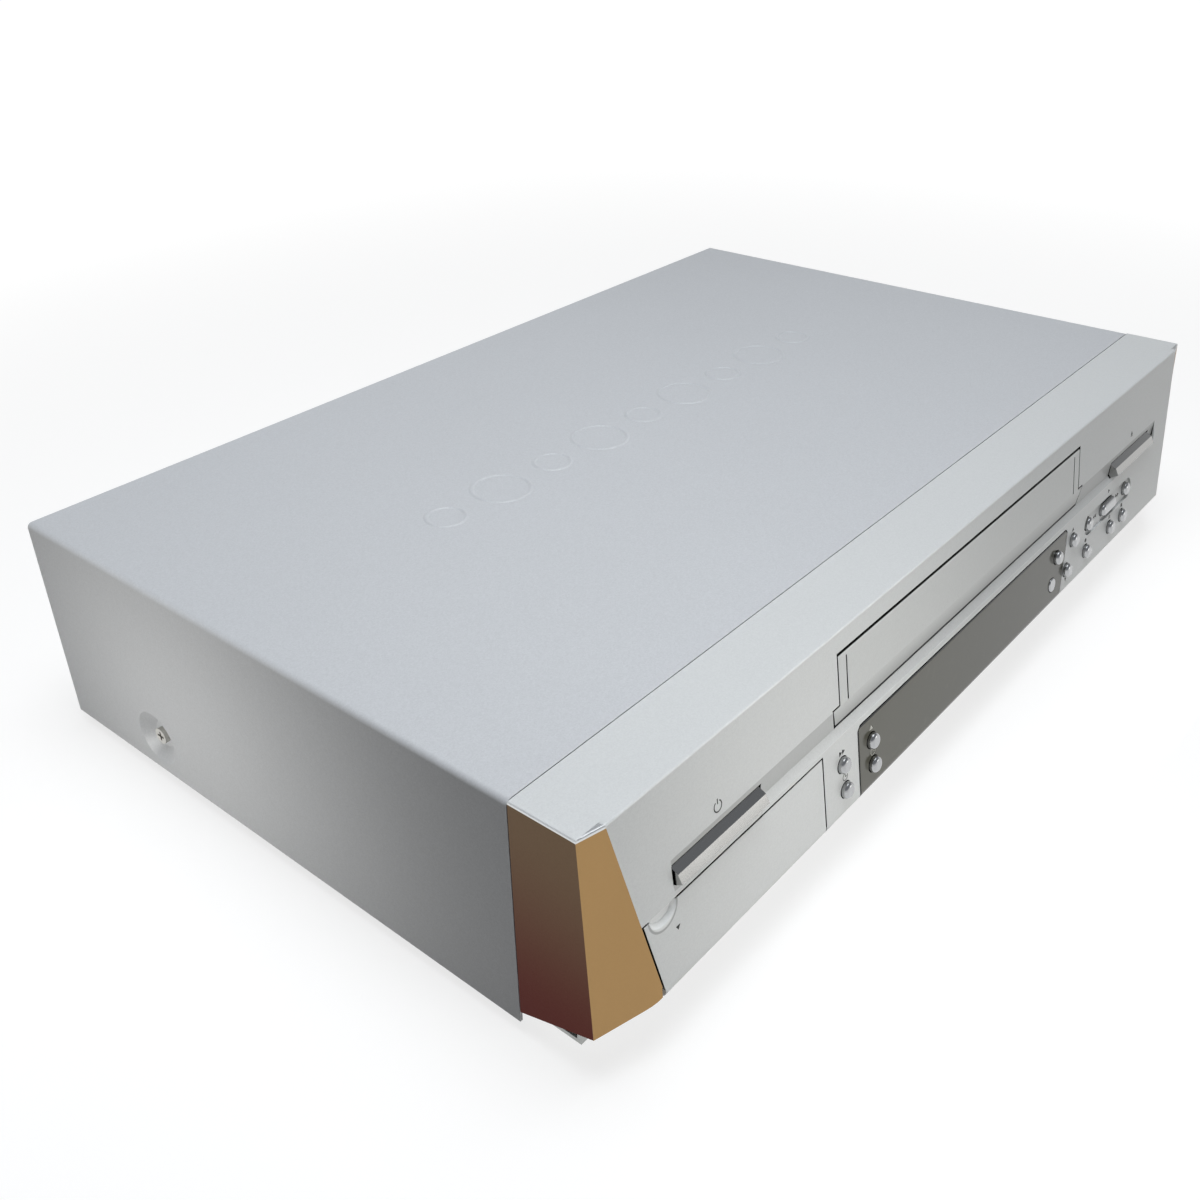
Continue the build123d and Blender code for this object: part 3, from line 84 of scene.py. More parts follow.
def linear(red, green, blue):
    """Screen colour from 0 to 255 as scene-linear light, by the sRGB curve."""
    parts = []
    for value in (red, green, blue):
        value = value / 255
        parts.append(value / 12.92 if value <= 0.04045 else ((value + 0.055) / 1.055) ** 2.4)
    return (*parts, 1.0)


# Painted shadow: near black for the walls of the gaps round doors, buttons and the window, where only shade
# falls
painted_gap_shadow = linear(12, 12, 12)
bare_plastic = linear(44, 44, 45)
panel_silver = linear(216, 218, 218)
white = linear(255, 255, 255)


def face_points(x, down, proud):
    """Points on the leaning face, in metres: x across, down along the slope, proud square to it.

    y = front_y - down sin(lean) - proud cos(lean), z = top_z - down cos(lean) + proud sin(lean)
    """
    x, down, proud = np.broadcast_arrays(x, down, proud)
    y = front_y - down * math.sin(lean) - proud * math.cos(lean)
    z = top_z - down * math.cos(lean) + proud * math.sin(lean)
    return np.stack([x, y, z], axis=-1)


class Value:
    """A number or colour on its way through the nodes; arithmetic on it adds Math nodes."""

    def __init__(self, maker, socket):
        self.maker = maker
        self.socket = socket

    def math(self, operation, *others):
        values = dict(enumerate((self, *others)))
        return self.maker.node("ShaderNodeMath", {"operation": operation}, values)

    def __add__(self, other):
        return self.math("ADD", other)

    __radd__ = __add__

    def __mul__(self, other):
        return self.math("MULTIPLY", other)

    __rmul__ = __mul__

    def __sub__(self, other):
        return self.math("SUBTRACT", other)

    def __rsub__(self, other):
        return self * -1.0 + other

    def __truediv__(self, other):
        return self.math("DIVIDE", other)

    def size(self):
        return self.math("ABSOLUTE")

    def sawtooth(self):
        """x - floor(x): 0 to 1, and down to 0 again at each whole number."""
        return self.math("FRACT")

    def wave(self, pitch):
        """Zigzag along this value, 0.5 to 0 and back over each pitch."""
        return ((self / pitch).sawtooth() - 0.5).size()

    def either(self, other):
        """The greater of two masks."""
        return self.math("MAXIMUM", other)

    def both(self, other):
        """The lesser of two masks."""
        return self.math("MINIMUM", other)

    def mapped(self, low, high, **settings):
        """(x - low) / (high - low), held between 0 and 1."""
        values = {"Value": self, "From Min": low, "From Max": high}
        return self.maker.node("ShaderNodeMapRange", {**settings, "clamp": True}, values)

    def step(self, low, high):
        """0 at low and 1 at high, level beyond them; between them t t (3 - 2 t) of the straight line's t."""
        return self.mapped(low, high, interpolation_type="SMOOTHSTEP")

    def band(self, low, high, soft):
        """1 between low and high, fading to 0 over soft."""
        return self.step(low - soft, low) * (1 - self.step(high, high + soft))


class Nodes:
    """Makes the nodes of one tree."""

    def __init__(self, tree):
        self.tree = tree

    def feed(self, socket, value):
        if isinstance(value, Value):
            self.tree.links.new(value.socket, socket)
        else:
            socket.default_value = value

    def node(self, kind, settings=None, values=None, out=0):
        """A node with its settings made first, then the values or links of its sockets, by name or number."""
        made = self.tree.nodes.new(kind)
        for name, value in (settings or {}).items():
            setattr(made, name, value)
        for key, value in (values or {}).items():
            self.feed(made.inputs[key], value)
        return Value(self, made.outputs[out])

    def mix(self, mask, low, high):
        """Colour low where the mask is 0, high where it is 1; sockets 6, 7 and out 2 are the colour ones."""
        return self.node("ShaderNodeMix", {"data_type": "RGBA"}, {0: mask, 6: low, 7: high}, out=2)

    def shade(self, color, level):
        """A colour made lighter or darker by a level near 1."""
        grey = self.node("ShaderNodeCombineXYZ", values={0: level, 1: level, 2: level})
        settings = {"data_type": "RGBA", "blend_type": "MULTIPLY"}
        return self.node("ShaderNodeMix", settings, {0: 1.0, 6: color, 7: grey}, out=2)

    def seen(self):
        """1 for rays from the camera, a gloss or a clear pane, 0 for light."""
        rays = [self.node("ShaderNodeLightPath", out=ray) for ray in
                ("Is Camera Ray", "Is Glossy Ray", "Is Transmission Ray")]
        return rays[0].either(rays[1]).either(rays[2])


class Finish(Nodes):
    """One material: a Principled surface, the nodes that feed it, and Object coordinates in metres."""

    def __init__(self, name, color, roughness, **sockets):
        self.material = bpy.data.materials.new(name)
        self.material.use_nodes = True
        super().__init__(self.material.node_tree)
        self.surface = self.tree.nodes["Principled BSDF"]
        self.set("Base Color", color)
        self.set("Roughness", roughness)
        for socket, value in sockets.items():
            self.set(socket.replace("_", " "), value)
        self.place = self.node("ShaderNodeTexCoord", out="Object")
        self.x, self.y, self.z = (self.part(self.place, axis) for axis in "XYZ")

    def part(self, value, axis):
        """One of the three numbers of a point or colour."""
        return self.node("ShaderNodeSeparateXYZ", values={0: value}, out=axis)

    def set(self, name, value):
        self.feed(self.surface.inputs[name], value)

    def noise(self, scale, detail=2.0, roughness=0.5, where=None):
        """Soft cloud from 0 to 1 with about scale spots to the metre."""
        where = where or self.place
        values = {"Vector": where, "Scale": scale, "Detail": detail, "Roughness": roughness}
        return self.node("ShaderNodeTexNoise", values=values)

    def voronoi(self, scale, out):
        return self.node("ShaderNodeTexVoronoi", values={"Vector": self.place, "Scale": scale}, out=out)

    def cells(self, scale):
        """One random level from 0 to 1 for each cell of a Voronoi pattern."""
        return self.part(self.voronoi(scale, "Color"), "X")

    def pebbles(self, scale):
        """Distance from the nearest cell's middle, for pebbled skins."""
        return self.voronoi(scale, "Distance")

    def squeezed(self, x, y, z):
        """Object coordinates with each axis multiplied, for streaks."""
        return self.node("ShaderNodeMapping", values={"Vector": self.place, "Scale": (x, y, z)})

    def bump(self, height, depth):
        """Relief from a height of 0 to 1, depth in metres."""
        values = {"Height": height, "Distance": depth, "Strength": 1.0}
        self.set("Normal", self.node("ShaderNodeBump", values=values))

    def behind_face(self):
        """Distance behind the plane of the leaning face: (y - front_y) cos(lean) + (top_z - z) sin(lean)."""
        return (self.y - front_y) * math.cos(lean) + (top_z - self.z) * math.sin(lean)

    def down_face(self):
        """Distance down the leaning face from its top: (top_z - z) cos(lean) - (y - front_y) sin(lean)."""
        return (top_z - self.z) * math.cos(lean) - (self.y - front_y) * math.sin(lean)

    def above_toe(self):
        """1 on the flat of the face, 0 on the toe rounded under it."""
        return self.z.step(flat_low_z, flat_low_z + 0.4 * MM)

    def within_band(self):
        """1 between the ends of the band, 0 beyond them."""
        return self.x.size().step(band_half + 0.1 * MM, band_half - 0.1 * MM)


def silver_paint(name, color, fleck, roughness, metallic):
    """Silver metallic paint: fine light and dark flecks over a slow cloud, with a faint orange peel."""
    paint = Finish(name, color, roughness, Metallic=metallic)
    flecks = paint.cells(2600.0) * 0.7 + paint.cells(1500.0) * 0.3
    cloud = paint.noise(11.0, 3.0)
    paint.level = 1.0 + (flecks - 0.5) * fleck + (cloud - 0.5) * 0.03
    paint.set("Base Color", paint.shade(color, paint.level))
    paint.set("Roughness", (flecks - 0.5) * 0.1 + (cloud - 0.5) * 0.06 + roughness)
    paint.bump(paint.noise(1700.0), 0.008 * MM)
    return paint


def cover_paint():
    """The folded cover's cooler silver, with a trace of handling marks."""
    paint = silver_paint("cover_paint", linear(197, 199, 202), 0.13, 0.46, 0.04)
    rub = paint.noise(9.0, 6.0, 0.7, paint.squeezed(1.0, 2.4, 1.0)).step(0.56, 0.8)
    flecks = paint.cells(2600.0)
    paint.set("Roughness", 0.4 + flecks * 0.1 + rub * 0.08)
    return paint


def inside_face(paint, recess):
    """1 further in than the face, its sloping band and the buttons' recess, where paint doesn't reach; the
    gap walls there get painted shadow.
    """
    down = paint.down_face()
    slope = down.mapped(band_top, band_ramp).both(1 - down.mapped(band_ramp, band_bottom))
    in_band = slope * paint.within_band()
    in_pill = down.band(*pill_down, 0.02 * MM) * paint.x.band(*pill_across, 0.02 * MM)
    skin = in_band * band_depth + in_pill * recess
    behind = (paint.behind_face() - skin).step(0.08 * MM, 0.18 * MM)
    return behind * paint.above_toe() * (top_z - paint.z).step(1.2 * MM, 1.5 * MM)


def paint_skin(paint, tone, recess=0.0, outside_scoop=1.0):
    """Keeps the tone to the outside: painted shadow in near black on the gap walls round doors and buttons,
    bare plastic on the backs.

    The metallic share is 0.2 in the paint, 1 in the gaps, so that the painted shadow shows no gloss, and 0 on
    the backs. Gives both the colour and that share.
    """
    back = paint.behind_face().step(1.9 * MM, 2.1 * MM)
    bare = inside_face(paint, recess) * back.either(outside_scoop)
    color = paint.mix(bare, tone, paint.mix(back, painted_gap_shadow, bare_plastic))
    metal = bare * (0.8 - back) + 0.2
    paint.set("Base Color", color)
    paint.set("Metallic", metal)
    return color, metal


def panel_paint():
    """The moulded panel's silver, with a painted reflection of a warm table on the chamfers and the ends (the
    ends darker and redder towards the bottom), painted shade on the sloping band, and bare plastic inside.
    """
    paint = silver_paint("panel_paint", panel_silver, 0.08, 0.36, 0.2)
    drop = top_z - paint.z
    side = paint.x.size()
    inner_x = half_width - chamfer_width - drop * chamfer_spread
    outer_y = front_y + chamfer_depth - drop * chamfer_run
    behind_edge = (paint.y - outer_y).step(0.0, 0.08 * MM)
    on_chamfer = (side - inner_x).step(-0.02 * MM, 0.02 * MM) * (1 - behind_edge)
    on_end = side.step(half_width - 0.15 * MM, half_width - 0.1 * MM) * behind_edge
    below_rim = drop.step(0.75 * MM, 0.95 * MM)
    streak = paint.noise(60.0, 3.0, 0.5, paint.squeezed(1.0, 1.0, 0.2))
    # Painted reflection of a warm table: warm tan on the chamfers, and on the ends a dark warm tone that
    # grows redder towards the bottom
    chamfer_painted_reflection = paint.shade(linear(164, 132, 89), 0.95 + streak * 0.1)
    end_painted_reflection = paint.mix(drop.step(0.0, 80 * MM), linear(100, 82, 64), linear(80, 33, 27))
    # Painted shade: the recessed sloping band across the face is made a shade darker than the face
    band = paint.down_face().band(26.3 * MM, 36.9 * MM, 0.05 * MM) * paint.within_band()
    front = paint.behind_face().step(2.0 * MM, 1.8 * MM)
    tone = paint.shade(panel_silver, paint.level - band * front * 0.22)
    skin, metal = paint_skin(paint, tone, pill_depth)
    front_color = paint.mix(on_chamfer * below_rim, skin, chamfer_painted_reflection)
    paint.set("Base Color", paint.mix(on_end * below_rim, front_color, end_painted_reflection))
    paint.set("Metallic", metal.either(on_chamfer.either(on_end)))
    paint.set("Specular Tint", (0.66, 0.66, 0.66, 1.0))
    return paint


def door_paint():
    """The cassette door's silver, with painted shade darkening its lip down to a painted shadow line in black
    at its foot, and bare plastic behind.
    """
    silver = linear(205, 207, 206)
    paint = silver_paint("door_paint", silver, 0.08, 0.34, 0.2)
    # Painted shade: the lip darkens down the face, and a painted shadow line in black runs along its foot
    lip = paint.down_face().mapped(26.2 * MM, 32.0 * MM)
    foot = paint.down_face().step(32.8 * MM, 33.0 * MM)
    tone = paint.shade(silver, paint.level - lip * 0.3)
    paint_skin(paint, paint.mix(foot, tone, painted_gap_shadow))
    return paint


def jack_door_paint():
    """The flip-down door in the panel's silver, with a painted highlight in its thumb scoop and painted shade
    round the scoop's rim, and bare behind its edges.
    """
    paint = silver_paint("jack_door_paint", panel_silver, 0.08, 0.36, 0.2)
    middle = tuple(face_points(scoop_x, jack_door_top, 0.0).tolist())
    values = {0: paint.place, 1: middle}
    from_scoop = paint.node("ShaderNodeVectorMath", {"operation": "DISTANCE"}, values, out="Value")
    # Painted highlight inside the thumb scoop, where top light would fall, and a ring of painted shade along
    # its rim
    scoop_painted_highlight = 1 - from_scoop.step(5.0 * MM, 6.2 * MM)
    scoop_rim_painted_shade = from_scoop.band(6.1 * MM, 6.5 * MM, 0.3 * MM)
    tone = paint.shade(panel_silver, paint.level + scoop_painted_highlight * 0.25 - scoop_rim_painted_shade * 0.4)
    paint_skin(paint, tone, outside_scoop=from_scoop.step(6.6 * MM, 6.8 * MM))
    return paint


def window_smoke():
    """Smoked pane: dark olive grey under a clear gloss, with faint dust; its edge walls, and lines along its
    top and left, are painted shadow in near black.
    """
    color = linear(86, 85, 74)
    pane = Finish("window_smoke", color, 0.12, Specular_IOR_Level=0.38)
    dust = pane.noise(260.0, 4.0).step(0.55, 0.85)
    depth = pane.noise(7.0)
    tone = pane.shade(color, 0.94 + depth * 0.1 + dust * 0.1)
    # Painted shadow: the pane's edge walls and lines along its top and left are made near black and metallic,
    # so the gaps round it read as shade
    edge = pane.behind_face().step(0.05 * MM, 0.12 * MM) * pane.above_toe()
    top_painted_shadow = 1 - pane.down_face().step(40.7 * MM, 40.8 * MM)
    left_painted_shadow = 1 - pane.x.step(-84.6 * MM, -84.5 * MM)
    black = edge.either(top_painted_shadow).either(left_painted_shadow)
    pane.set("Base Color", pane.mix(black, tone, painted_gap_shadow))
    pane.set("Metallic", black)
    pane.set("Roughness", 0.1 + dust * 0.1)
    return pane


def chrome(name, color, roughness):
    """Plated plastic: bright, with a slow waviness that breaks its reflections."""
    plate = Finish(name, color, roughness, Metallic=1.0)
    wave = plate.noise(70.0, 1.0)
    fine = plate.noise(1400.0, 3.0)
    plate.set("Base Color", plate.shade(color, 0.98 + fine * 0.04))
    plate.set("Roughness", roughness - 0.02 + fine * 0.04)
    plate.bump(wave, 0.03 * MM)
    return plate


def zinc_sheet():
    """Plated sheet steel: spangles of slightly different grey, with fine rolling lines."""
    color = linear(178, 180, 178)
    sheet = Finish("zinc_sheet", color, 0.42, Metallic=0.85)
    spangle = sheet.cells(150.0)
    lines = sheet.noise(30.0, 4.0, 0.6, sheet.squeezed(1.0, 40.0, 40.0))
    sheet.set("Base Color", sheet.shade(color, 0.86 + spangle * 0.16 + lines * 0.1))
    sheet.set("Roughness", 0.32 + spangle * 0.14 + lines * 0.08)
    sheet.bump(lines, 0.01 * MM)
    return sheet


def moulded(name, color, roughness=0.5):
    """Moulded plastic: a fine pebbled skin and a slow change of tone."""
    plastic = Finish(name, color, roughness)
    pebble = plastic.pebbles(1800.0)
    tone = plastic.noise(40.0, 3.0)
    plastic.set("Base Color", plastic.shade(color, 0.9 + tone * 0.14 + pebble * 0.06))
    plastic.set("Roughness", roughness - 0.06 + tone * 0.12)
    plastic.bump(pebble, 0.03 * MM)
    return plastic


def foot_rubber():
    """Soft black foot: matte, dusty towards the bottom edge."""
    color = linear(46, 46, 47)
    rubber = Finish("foot_rubber", color, 0.85)
    dust = (1 - rubber.z.step(0.0, 2.5 * MM)) * rubber.noise(400.0, 4.0)
    rubber.set("Base Color", rubber.mix(dust * 0.5, color, linear(120, 116, 110)))
    rubber.bump(rubber.noise(1100.0, 3.0), 0.06 * MM)
    return rubber


def roller_rubber():
    """Ground black rubber with lines round its axis."""
    color = linear(38, 38, 39)
    rubber = Finish("roller_rubber", color, 0.75)
    lines = rubber.noise(12.0, 2.0, 0.5, rubber.squeezed(1.0, 1.0, 120.0))
    rubber.set("Base Color", rubber.shade(color, 0.85 + lines * 0.3))
    rubber.bump(lines, 0.02 * MM)
    return rubber


def screw_steel():
    """Plated screw heads, darker in worn spots."""
    color = linear(196, 194, 188)
    steel = Finish("screw_steel", color, 0.3, Metallic=1.0)
    wear = steel.noise(900.0, 4.0)
    steel.set("Base Color", steel.shade(color, 0.8 + wear * 0.3))
    steel.set("Roughness", 0.22 + wear * 0.2)
    steel.bump(wear, 0.02 * MM)
    return steel


def board_laminate():
    """Brown-green laminate with copper tracks under lacquer."""
    color = linear(150, 124, 70)
    board = Finish("board_laminate", color, 0.45)
    cross = board.noise(55.0, 0.0, 0.5, board.squeezed(1.0, 0.15, 1.0))
    along = board.noise(55.0, 0.0, 0.5, board.squeezed(0.15, 1.0, 1.0))
    track = (cross * 14.0).sawtooth().step(0.5, 0.56) * (along * 14.0).sawtooth().step(0.4, 0.46)
    fibre = board.noise(900.0, 3.0)
    tone = board.shade(color, 0.86 + fibre * 0.24)
    board.set("Base Color", board.mix(track, tone, linear(84, 116, 60)))
    board.set("Roughness", 0.5 - track * 0.2)
    board.bump(track, 0.04 * MM)
    return board


def socket_nickel():
    """Nickel sockets: bright, with thread rings on the antenna sockets' ends and a warm trace of tarnish."""
    color = linear(205, 201, 190)
    nickel = Finish("socket_nickel", color, 0.2, Metallic=1.0)
    tarnish = nickel.noise(300.0, 4.0)
    nickel.set("Base Color", nickel.shade(color, 0.82 + tarnish * 0.28))
    nickel.set("Roughness", 0.16 + tarnish * 0.2)
    ring = nickel.y.wave(0.8 * MM) * 2.0
    on_thread = nickel.x.step(130 * MM, 135 * MM) * nickel.y.step(rear_y + 1.7 * MM, rear_y + 1.9 * MM)
    nickel.bump(ring * on_thread + nickel.noise(900.0) * 0.03, 0.3 * MM)
    return nickel


def insert_plastic(name, color):
    """Glossy coloured plastic in the sockets."""
    plastic = Finish(name, color, 0.28, Coat_Weight=0.3)
    tone = plastic.noise(500.0, 3.0)
    plastic.set("Base Color", plastic.shade(color, 0.9 + tone * 0.16))
    plastic.set("Roughness", 0.22 + tone * 0.12)
    return plastic


def display_glass():
    """Dark display glass with a faint grid of unlit segments."""
    color = linear(34, 38, 38)
    glass = Finish("display_glass", color, 0.08)
    column = glass.x.wave(9.0 * MM)
    row = glass.z.wave(2.4 * MM)
    grid = column.band(0.12, 0.34, 0.02) * row.step(0.18, 0.24)
    glass.set("Base Color", glass.mix(grid * 0.6, color, linear(92, 104, 100)))
    glass.set("Roughness", 0.08 + glass.noise(300.0) * 0.06)
    return glass


def turned_aluminium():
    """Head drums: bright metal with rings turned round their upright axis."""
    color = linear(206, 208, 210)
    metal = Finish("turned_aluminium", color, 0.24, Metallic=1.0)
    rings = metal.noise(10.0, 1.0, 0.5, metal.squeezed(0.2, 0.2, 260.0))
    metal.set("Base Color", metal.shade(color, 0.9 + rings * 0.16))
    metal.set("Roughness", 0.18 + rings * 0.14)
    metal.bump(rings, 0.02 * MM)
    return metal


def transformer_core():
    """Dark steel laminations, with yellow tape on the winding that stands out of their front and rear."""
    color = linear(86, 84, 82)
    core = Finish("transformer_core", color, 0.5)
    low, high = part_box("transformer")
    winding = 3.1 * MM
    layer = core.z.wave(0.5 * MM)
    tape = 1 - core.y.band(low[1] + winding, high[1] - winding, 0.1 * MM)
    tone = core.shade(color, 0.7 + layer * 0.7)
    yellow = core.shade(linear(214, 170, 52), 0.9 + core.noise(220.0) * 0.16)
    core.set("Base Color", core.mix(tape, tone, yellow))
    core.set("Roughness", 0.55 - tape * 0.2)
    core.bump(layer * (1 - tape), 0.05 * MM)
    return core


def ground_steel():
    """Capstan shaft and flywheel: ground steel with fine rings."""
    color = linear(190, 190, 188)
    steel = Finish("ground_steel", color, 0.25, Metallic=1.0)
    rings = steel.noise(18.0, 2.0, 0.5, steel.squeezed(1.0, 1.0, 90.0))
    steel.set("Base Color", steel.shade(color, 0.86 + rings * 0.2))
    steel.set("Roughness", 0.18 + rings * 0.16)
    steel.bump(rings, 0.01 * MM)
    return steel


def printing_ink(name, color, patchy, **sockets):
    """Ink of the printed marks, laid a little unevenly."""
    ink = Finish(name, color, 0.5, **sockets)
    ink.set("Base Color", ink.shade(color, 0.85 + ink.noise(2500.0) * patchy))
    return ink


# The finish of every slot in the record; the flip-down door has its own
finishes = {
    "cover_paint": cover_paint(),
    "panel_paint": panel_paint(),
    "door_paint": door_paint(),
    "window_smoke": window_smoke(),
    "button_chrome": chrome("button_chrome", linear(168, 168, 166), 0.13),
    "button_silver": chrome("button_silver", linear(176, 177, 178), 0.17),
    "zinc_sheet": zinc_sheet(),
    "dark_plastic": moulded("dark_plastic", linear(42, 42, 44)),
    "white_plastic": moulded("white_plastic", linear(222, 220, 208), 0.42),
    "foot_rubber": foot_rubber(),
    "roller_rubber": roller_rubber(),
    "screw_steel": screw_steel(),
    "board_laminate": board_laminate(),
    "nickel": socket_nickel(),
    "yellow_insert": insert_plastic("yellow_insert", linear(228, 178, 30)),
    "white_insert": insert_plastic("white_insert", linear(232, 232, 226)),
    "red_insert": insert_plastic("red_insert", linear(186, 34, 30)),
    "display_glass": display_glass(),
    "drum_aluminium": turned_aluminium(),
    "core_steel": transformer_core(),
    "capstan_steel": ground_steel(),
}
own_finish = {"jack_door": jack_door_paint()}
for part in frame["record"]["subparts"]:
    finish = own_finish.get(part["node"], finishes[part["material_slot"]])
    for slot in nodes[part["node"]].material_slots:
        slot.material = finish.material


def add_mesh(name, points, faces, finish):
    """An object with a mesh of points and faces, in one finish."""
    mesh = bpy.data.meshes.new(name)
    mesh.from_pydata(points.reshape(-1, 3).tolist(), [], [face.tolist() for face in faces])
    mesh.materials.append(finish.material)
    mesh.validate()
    piece = bpy.data.objects.new(name, mesh)
    bpy.context.scene.collection.objects.link(piece)
    return piece


def printed(name, outlines, x, down, proud, finish, body):
    """A printed mark: each closed outline becomes a slab 0.03 mm high round the place (x, down) on the face.

    All sizes are in millimetres. Point k of an outline, (u, v), stands at (x + u, down - v), once on the low
    level and once on the high one; wall k joins points k and k + 1 of both levels.
    """
    points = []
    faces = []
    start = 0
    for outline in outlines:
        u, v = np.asarray(outline, float).T
        turn = np.sum(u * np.roll(v, -1) - np.roll(u, -1) * v)
        u, v = (u, v) if turn > 0 else (u[::-1], v[::-1])
        count = len(u)
        low = start + np.arange(count)
        high = low + count
        walls = np.stack([low, np.roll(low, -1), np.roll(high, -1), high], axis=-1)
        for level in (0.005, 0.035):
            points.append(face_points((x + u) * MM, (down - v) * MM, (proud + level) * MM))
        faces += [high, low[::-1], *walls]
        start += 2 * count
    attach(add_mesh(name, np.concatenate(points), faces, finish), body)


def disc(radius, count=24):
    """Circle: x = r cos t, y = r sin t."""
    t = np.arange(count) * (2 * math.pi / count)
    return np.stack([radius * np.cos(t), radius * np.sin(t)], axis=-1)


def arc_band(inner, outer, start, end, count=24):
    """Part of a ring between two radii, from one angle to another in degrees: x = r cos t, y = r sin t."""
    t = np.radians(np.linspace(start, end, count))
    out = np.stack([outer * np.cos(t), outer * np.sin(t)], axis=-1)
    back = np.stack([inner * np.cos(t[::-1]), inner * np.sin(t[::-1])], axis=-1)
    return np.concatenate([out, back])


def bar(x0, x1, y0, y1):
    return [(x0, y0), (x1, y0), (x1, y1), (x0, y1)]


def moved(outline, dx, dy):
    return np.asarray(outline, float) + (dx, dy)


def twice(outline):
    """Two of an outline side by side."""
    return [moved(outline, -0.9, 0), moved(outline, 0.9, 0)]


# Outlines of common symbols, in millimetres round the middle of each
right_arrow = [(-0.8, -0.95), (0.9, 0.0), (-0.8, 0.95)]
left_arrow = [(0.8, -0.95), (-0.9, 0.0), (0.8, 0.95)]
up_arrow = [(-1.0, -0.7), (1.0, -0.7), (0.0, 0.9)]
down_arrow = [(-1.0, 0.7), (1.0, 0.7), (0.0, -0.9)]
power = [arc_band(1.6, 2.0, 120, 420), bar(-0.2, 0.2, 0.7, 2.5)]
eject = [moved(up_arrow, 0, 0.3), bar(-1.0, 1.0, -1.1, -0.7)]
clock_ring = [arc_band(1.25, 1.5, 0, 179), arc_band(1.25, 1.5, 180, 359)]
clock = [*clock_ring, bar(-0.12, 0.12, 0, 0.95), bar(0.16, 0.8, -0.12, 0.12)]
pause = [bar(-0.75, -0.25, -0.9, 0.9), bar(0.25, 0.75, -0.9, 0.9)]
stop = [bar(-0.85, 0.85, -0.85, 0.85)]

# Each mark's outlines, its place across and down the face and proud of it, its ink and the body it rides on
ink = printing_ink("print_ink", linear(40, 40, 40), 0.3, Specular_IOR_Level=0.2)
pale = printing_ink("pale_ink", linear(206, 206, 198), 0.2)
marks = {
    "power_mark": (power, -161.0, 22.6, 0.0, ink, "case"),
    "eject_mark": (eject, 154.5, 22.6, 0.0, ink, "case"),
    "play_mark": ([right_arrow], 130.3, 40.3, 0.0, ink, "case"),
    "record_mark": ([disc(0.95)], 105.6, 53.5, 0.0, ink, "case"),
    "pause_mark": (pause, 132.4, 53.4, 0.0, ink, "case"),
    "stop_mark": (stop, 146.6, 53.4, 0.0, ink, "case"),
    "channel_up_mark": ([up_arrow], 91.2, 42.4, 0.0, ink, "case"),
    "channel_down_mark": ([down_arrow], 84.8, 62.6, 0.0, ink, "case"),
    "speed_mark": (twice(right_arrow), -95.4, 43.3, 0.0, ink, "case"),
    "timer_mark": (clock, -94.2, 53.4, 0.0, ink, "case"),
    "rewind_mark": (twice(left_arrow), 117.4, 47.4, -1.0, ink, "case"),
    "forward_mark": (twice(right_arrow), 143.2, 47.4, -1.0, ink, "case"),
    "input_mark": ([up_arrow], -76.8, 44.4, 0.0, pale, "case"),
    "clock_mark": (clock, -76.2, 54.1, 0.0, pale, "case"),
    "open_mark": ([down_arrow], -184.0, 49.0, 0.0, ink, "jack_door"),
}
for name, mark in marks.items():
    printed(name, *mark)


def lamp(name, place, aim, watts, size, color, spread=180.0, height=None, glints=True):
    """A soft area lamp at a place, facing a point: its sides in metres, its beam in degrees.

    Without glints it lights the player, and no gloss shows it.
    """
    made = bpy.data.lights.new(name, "AREA")
    made.energy = watts
    made.shape = "RECTANGLE"
    made.size = size
    made.size_y = height or size
    made.color = color
    made.spread = math.radians(spread)
    holder = bpy.data.objects.new(name, made)
    holder.location = place
    holder.rotation_mode = "QUATERNION"
    holder.rotation_quaternion = (Vector(aim) - Vector(place)).to_track_quat("-Z", "Y")
    holder.visible_camera = False
    holder.visible_glossy = glints
    bpy.context.scene.collection.objects.link(holder)


def pale_floor():
    """Grey floor for the light that falls on it, white to the camera and in gloss, with the shadow kept.

    The shadow fades with the distance from the middle. The floor is a square grid just under the feet, and
    the quad at point k joins k, k + 1 and the two of the next row.
    """
    grey = linear(94, 91, 88)
    floor = Finish("floor_pale", grey, 0.9)
    floor.set("Base Color", floor.shade(grey, 0.97 + floor.noise(3.0, 3.0) * 0.06))
    away = floor.node("ShaderNodeVectorMath", {"operation": "LENGTH"}, {0: floor.place}, out="Value")
    shaded = floor.node("ShaderNodeBsdfDiffuse", values={"Color": linear(246, 246, 246)})
    lit = floor.node("ShaderNodeEmission", values={"Color": white, "Strength": 1.08})
    share = away.step(0.3, 1.1) * 0.25 + 0.7
    shown = floor.node("ShaderNodeMixShader", values={0: share, 1: shaded, 2: lit})
    own = Value(floor, floor.surface.outputs[0])
    both = floor.node("ShaderNodeMixShader", values={0: floor.seen(), 1: own, 2: shown})
    floor.feed(floor.tree.nodes["Material Output"].inputs["Surface"], both)
    row = 4
    reach = np.linspace(-9.0, 9.0, row)
    across, along = np.meshgrid(reach, reach)
    points = np.stack([across, along, np.full_like(across, -0.1 * MM)], axis=-1)
    corner = (np.arange(row - 1)[:, None] * row + np.arange(row - 1)).ravel()
    quads = np.stack([corner, corner + 1, corner + row + 1, corner + row], axis=-1)
    add_mesh("floor", points, quads, floor)


def pale_room():
    """White walls with a darker ceiling, seen by the camera and in gloss, that give only a trace of light."""
    world = bpy.data.worlds.new("studio")
    bpy.context.scene.world = world
    world.use_nodes = True
    room = Nodes(world.node_tree)
    direction = room.node("ShaderNodeTexCoord", out="Generated")
    height = room.node("ShaderNodeSeparateXYZ", values={0: direction}, out="Z")
    ceiling = (0.26, 0.27, 0.29, 1.0)
    trace = 0.03
    background = world.node_tree.nodes["Background"]
    room.feed(background.inputs["Color"], room.mix(height.step(0.1, 0.55), white, ceiling))
    room.feed(background.inputs["Strength"], room.seen() * (1 - trace) + trace)


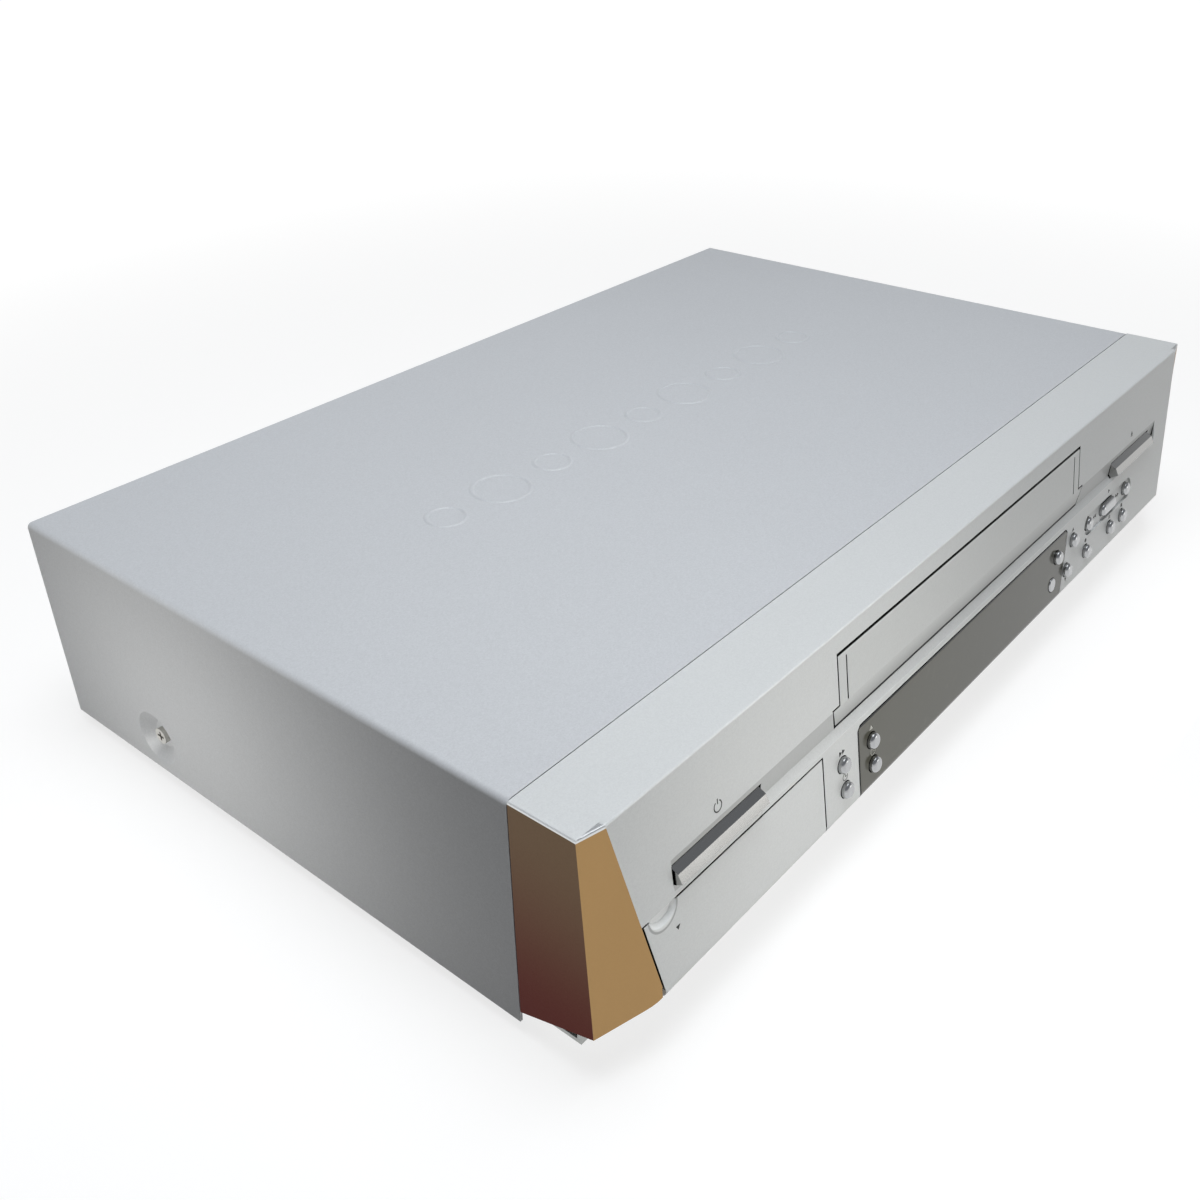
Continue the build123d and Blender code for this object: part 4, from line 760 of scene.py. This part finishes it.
def studio():
    """Soft lamps: two overhead, three for the front, and a low one for the rear and for each side."""
    bpy.context.scene.view_settings.view_transform = "Standard"
    pale_room()
    pale_floor()
    cool = (0.94, 0.97, 1.0)
    warm = (1.0, 0.99, 0.95)
    lamp("top_lamp", (0.25, 0.05, 1.6), (0.0, 0.0, 0.05), 6.4, 1.0, cool)
    lamp("near_top_lamp", (-0.18, -0.12, 0.9), (-0.1, -0.05, 0.05), 6.0, 0.5, cool, glints=False)
    lamp("face_lamp", (-0.12, -0.42, 0.12), (-0.11, -0.14, 0.05), 0.066, 0.15, warm,
         spread=60.0, glints=False)
    lamp("far_face_lamp", (0.5, -0.9, 0.2), (0.1, -0.14, 0.05), 0.55, 0.3, warm)
    lamp("floor_lamp", (0.15, -0.21, 0.012), (0.15, -0.14, 0.03), 0.018, 0.22, warm,
         height=0.02, glints=False)
    lamp("side_lamp", (-0.55, 0.08, 0.02), (-0.215, 0.055, 0.03), 0.062, 0.08, warm, spread=48.0)
    lamp("rear_lamp", (0.0, 1.0, 0.05), (0.0, 0.13, 0.05), 4.0, 1.2, warm, height=0.08, glints=False)
    lamp("right_lamp", (1.1, 0.0, 0.05), (0.215, 0.0, 0.05), 3.0, 1.0, warm, height=0.08, glints=False)


def photo_camera():
    """The photograph's camera: its place, direction and lens, fitted to the player's edges.

    The focal length and the point straight ahead are in pixels of the photograph, which is square.
    """
    picture = 1200.0
    focal = 1237.7
    ahead_x, ahead_y = (565.9, 606.1)
    camera = bpy.data.cameras.new("photo_camera")
    camera.sensor_width = 36.0
    camera.lens = camera.sensor_width * focal / picture
    camera.shift_x = (picture / 2 - ahead_x) / picture
    camera.shift_y = (ahead_y - picture / 2) / picture
    camera.clip_start = 0.01
    camera.clip_end = 50.0
    holder = bpy.data.objects.new("photo_camera", camera)
    ahead = Vector((0.6307, 0.5638, -0.5333)).normalized()
    right = Vector((0.6544, -0.7557, -0.0251))
    right = (right - ahead * right.dot(ahead)).normalized()
    up = right.cross(ahead)
    turn = Matrix((right, up, -ahead)).transposed().to_4x4()
    place = Vector((-383.25 * MM, -147.54 * MM + front_y, 294.36 * MM + base_z))
    holder.matrix_world = Matrix.Translation(place) @ turn
    bpy.context.scene.collection.objects.link(holder)
    bpy.context.scene.camera = holder


studio()
photo_camera()
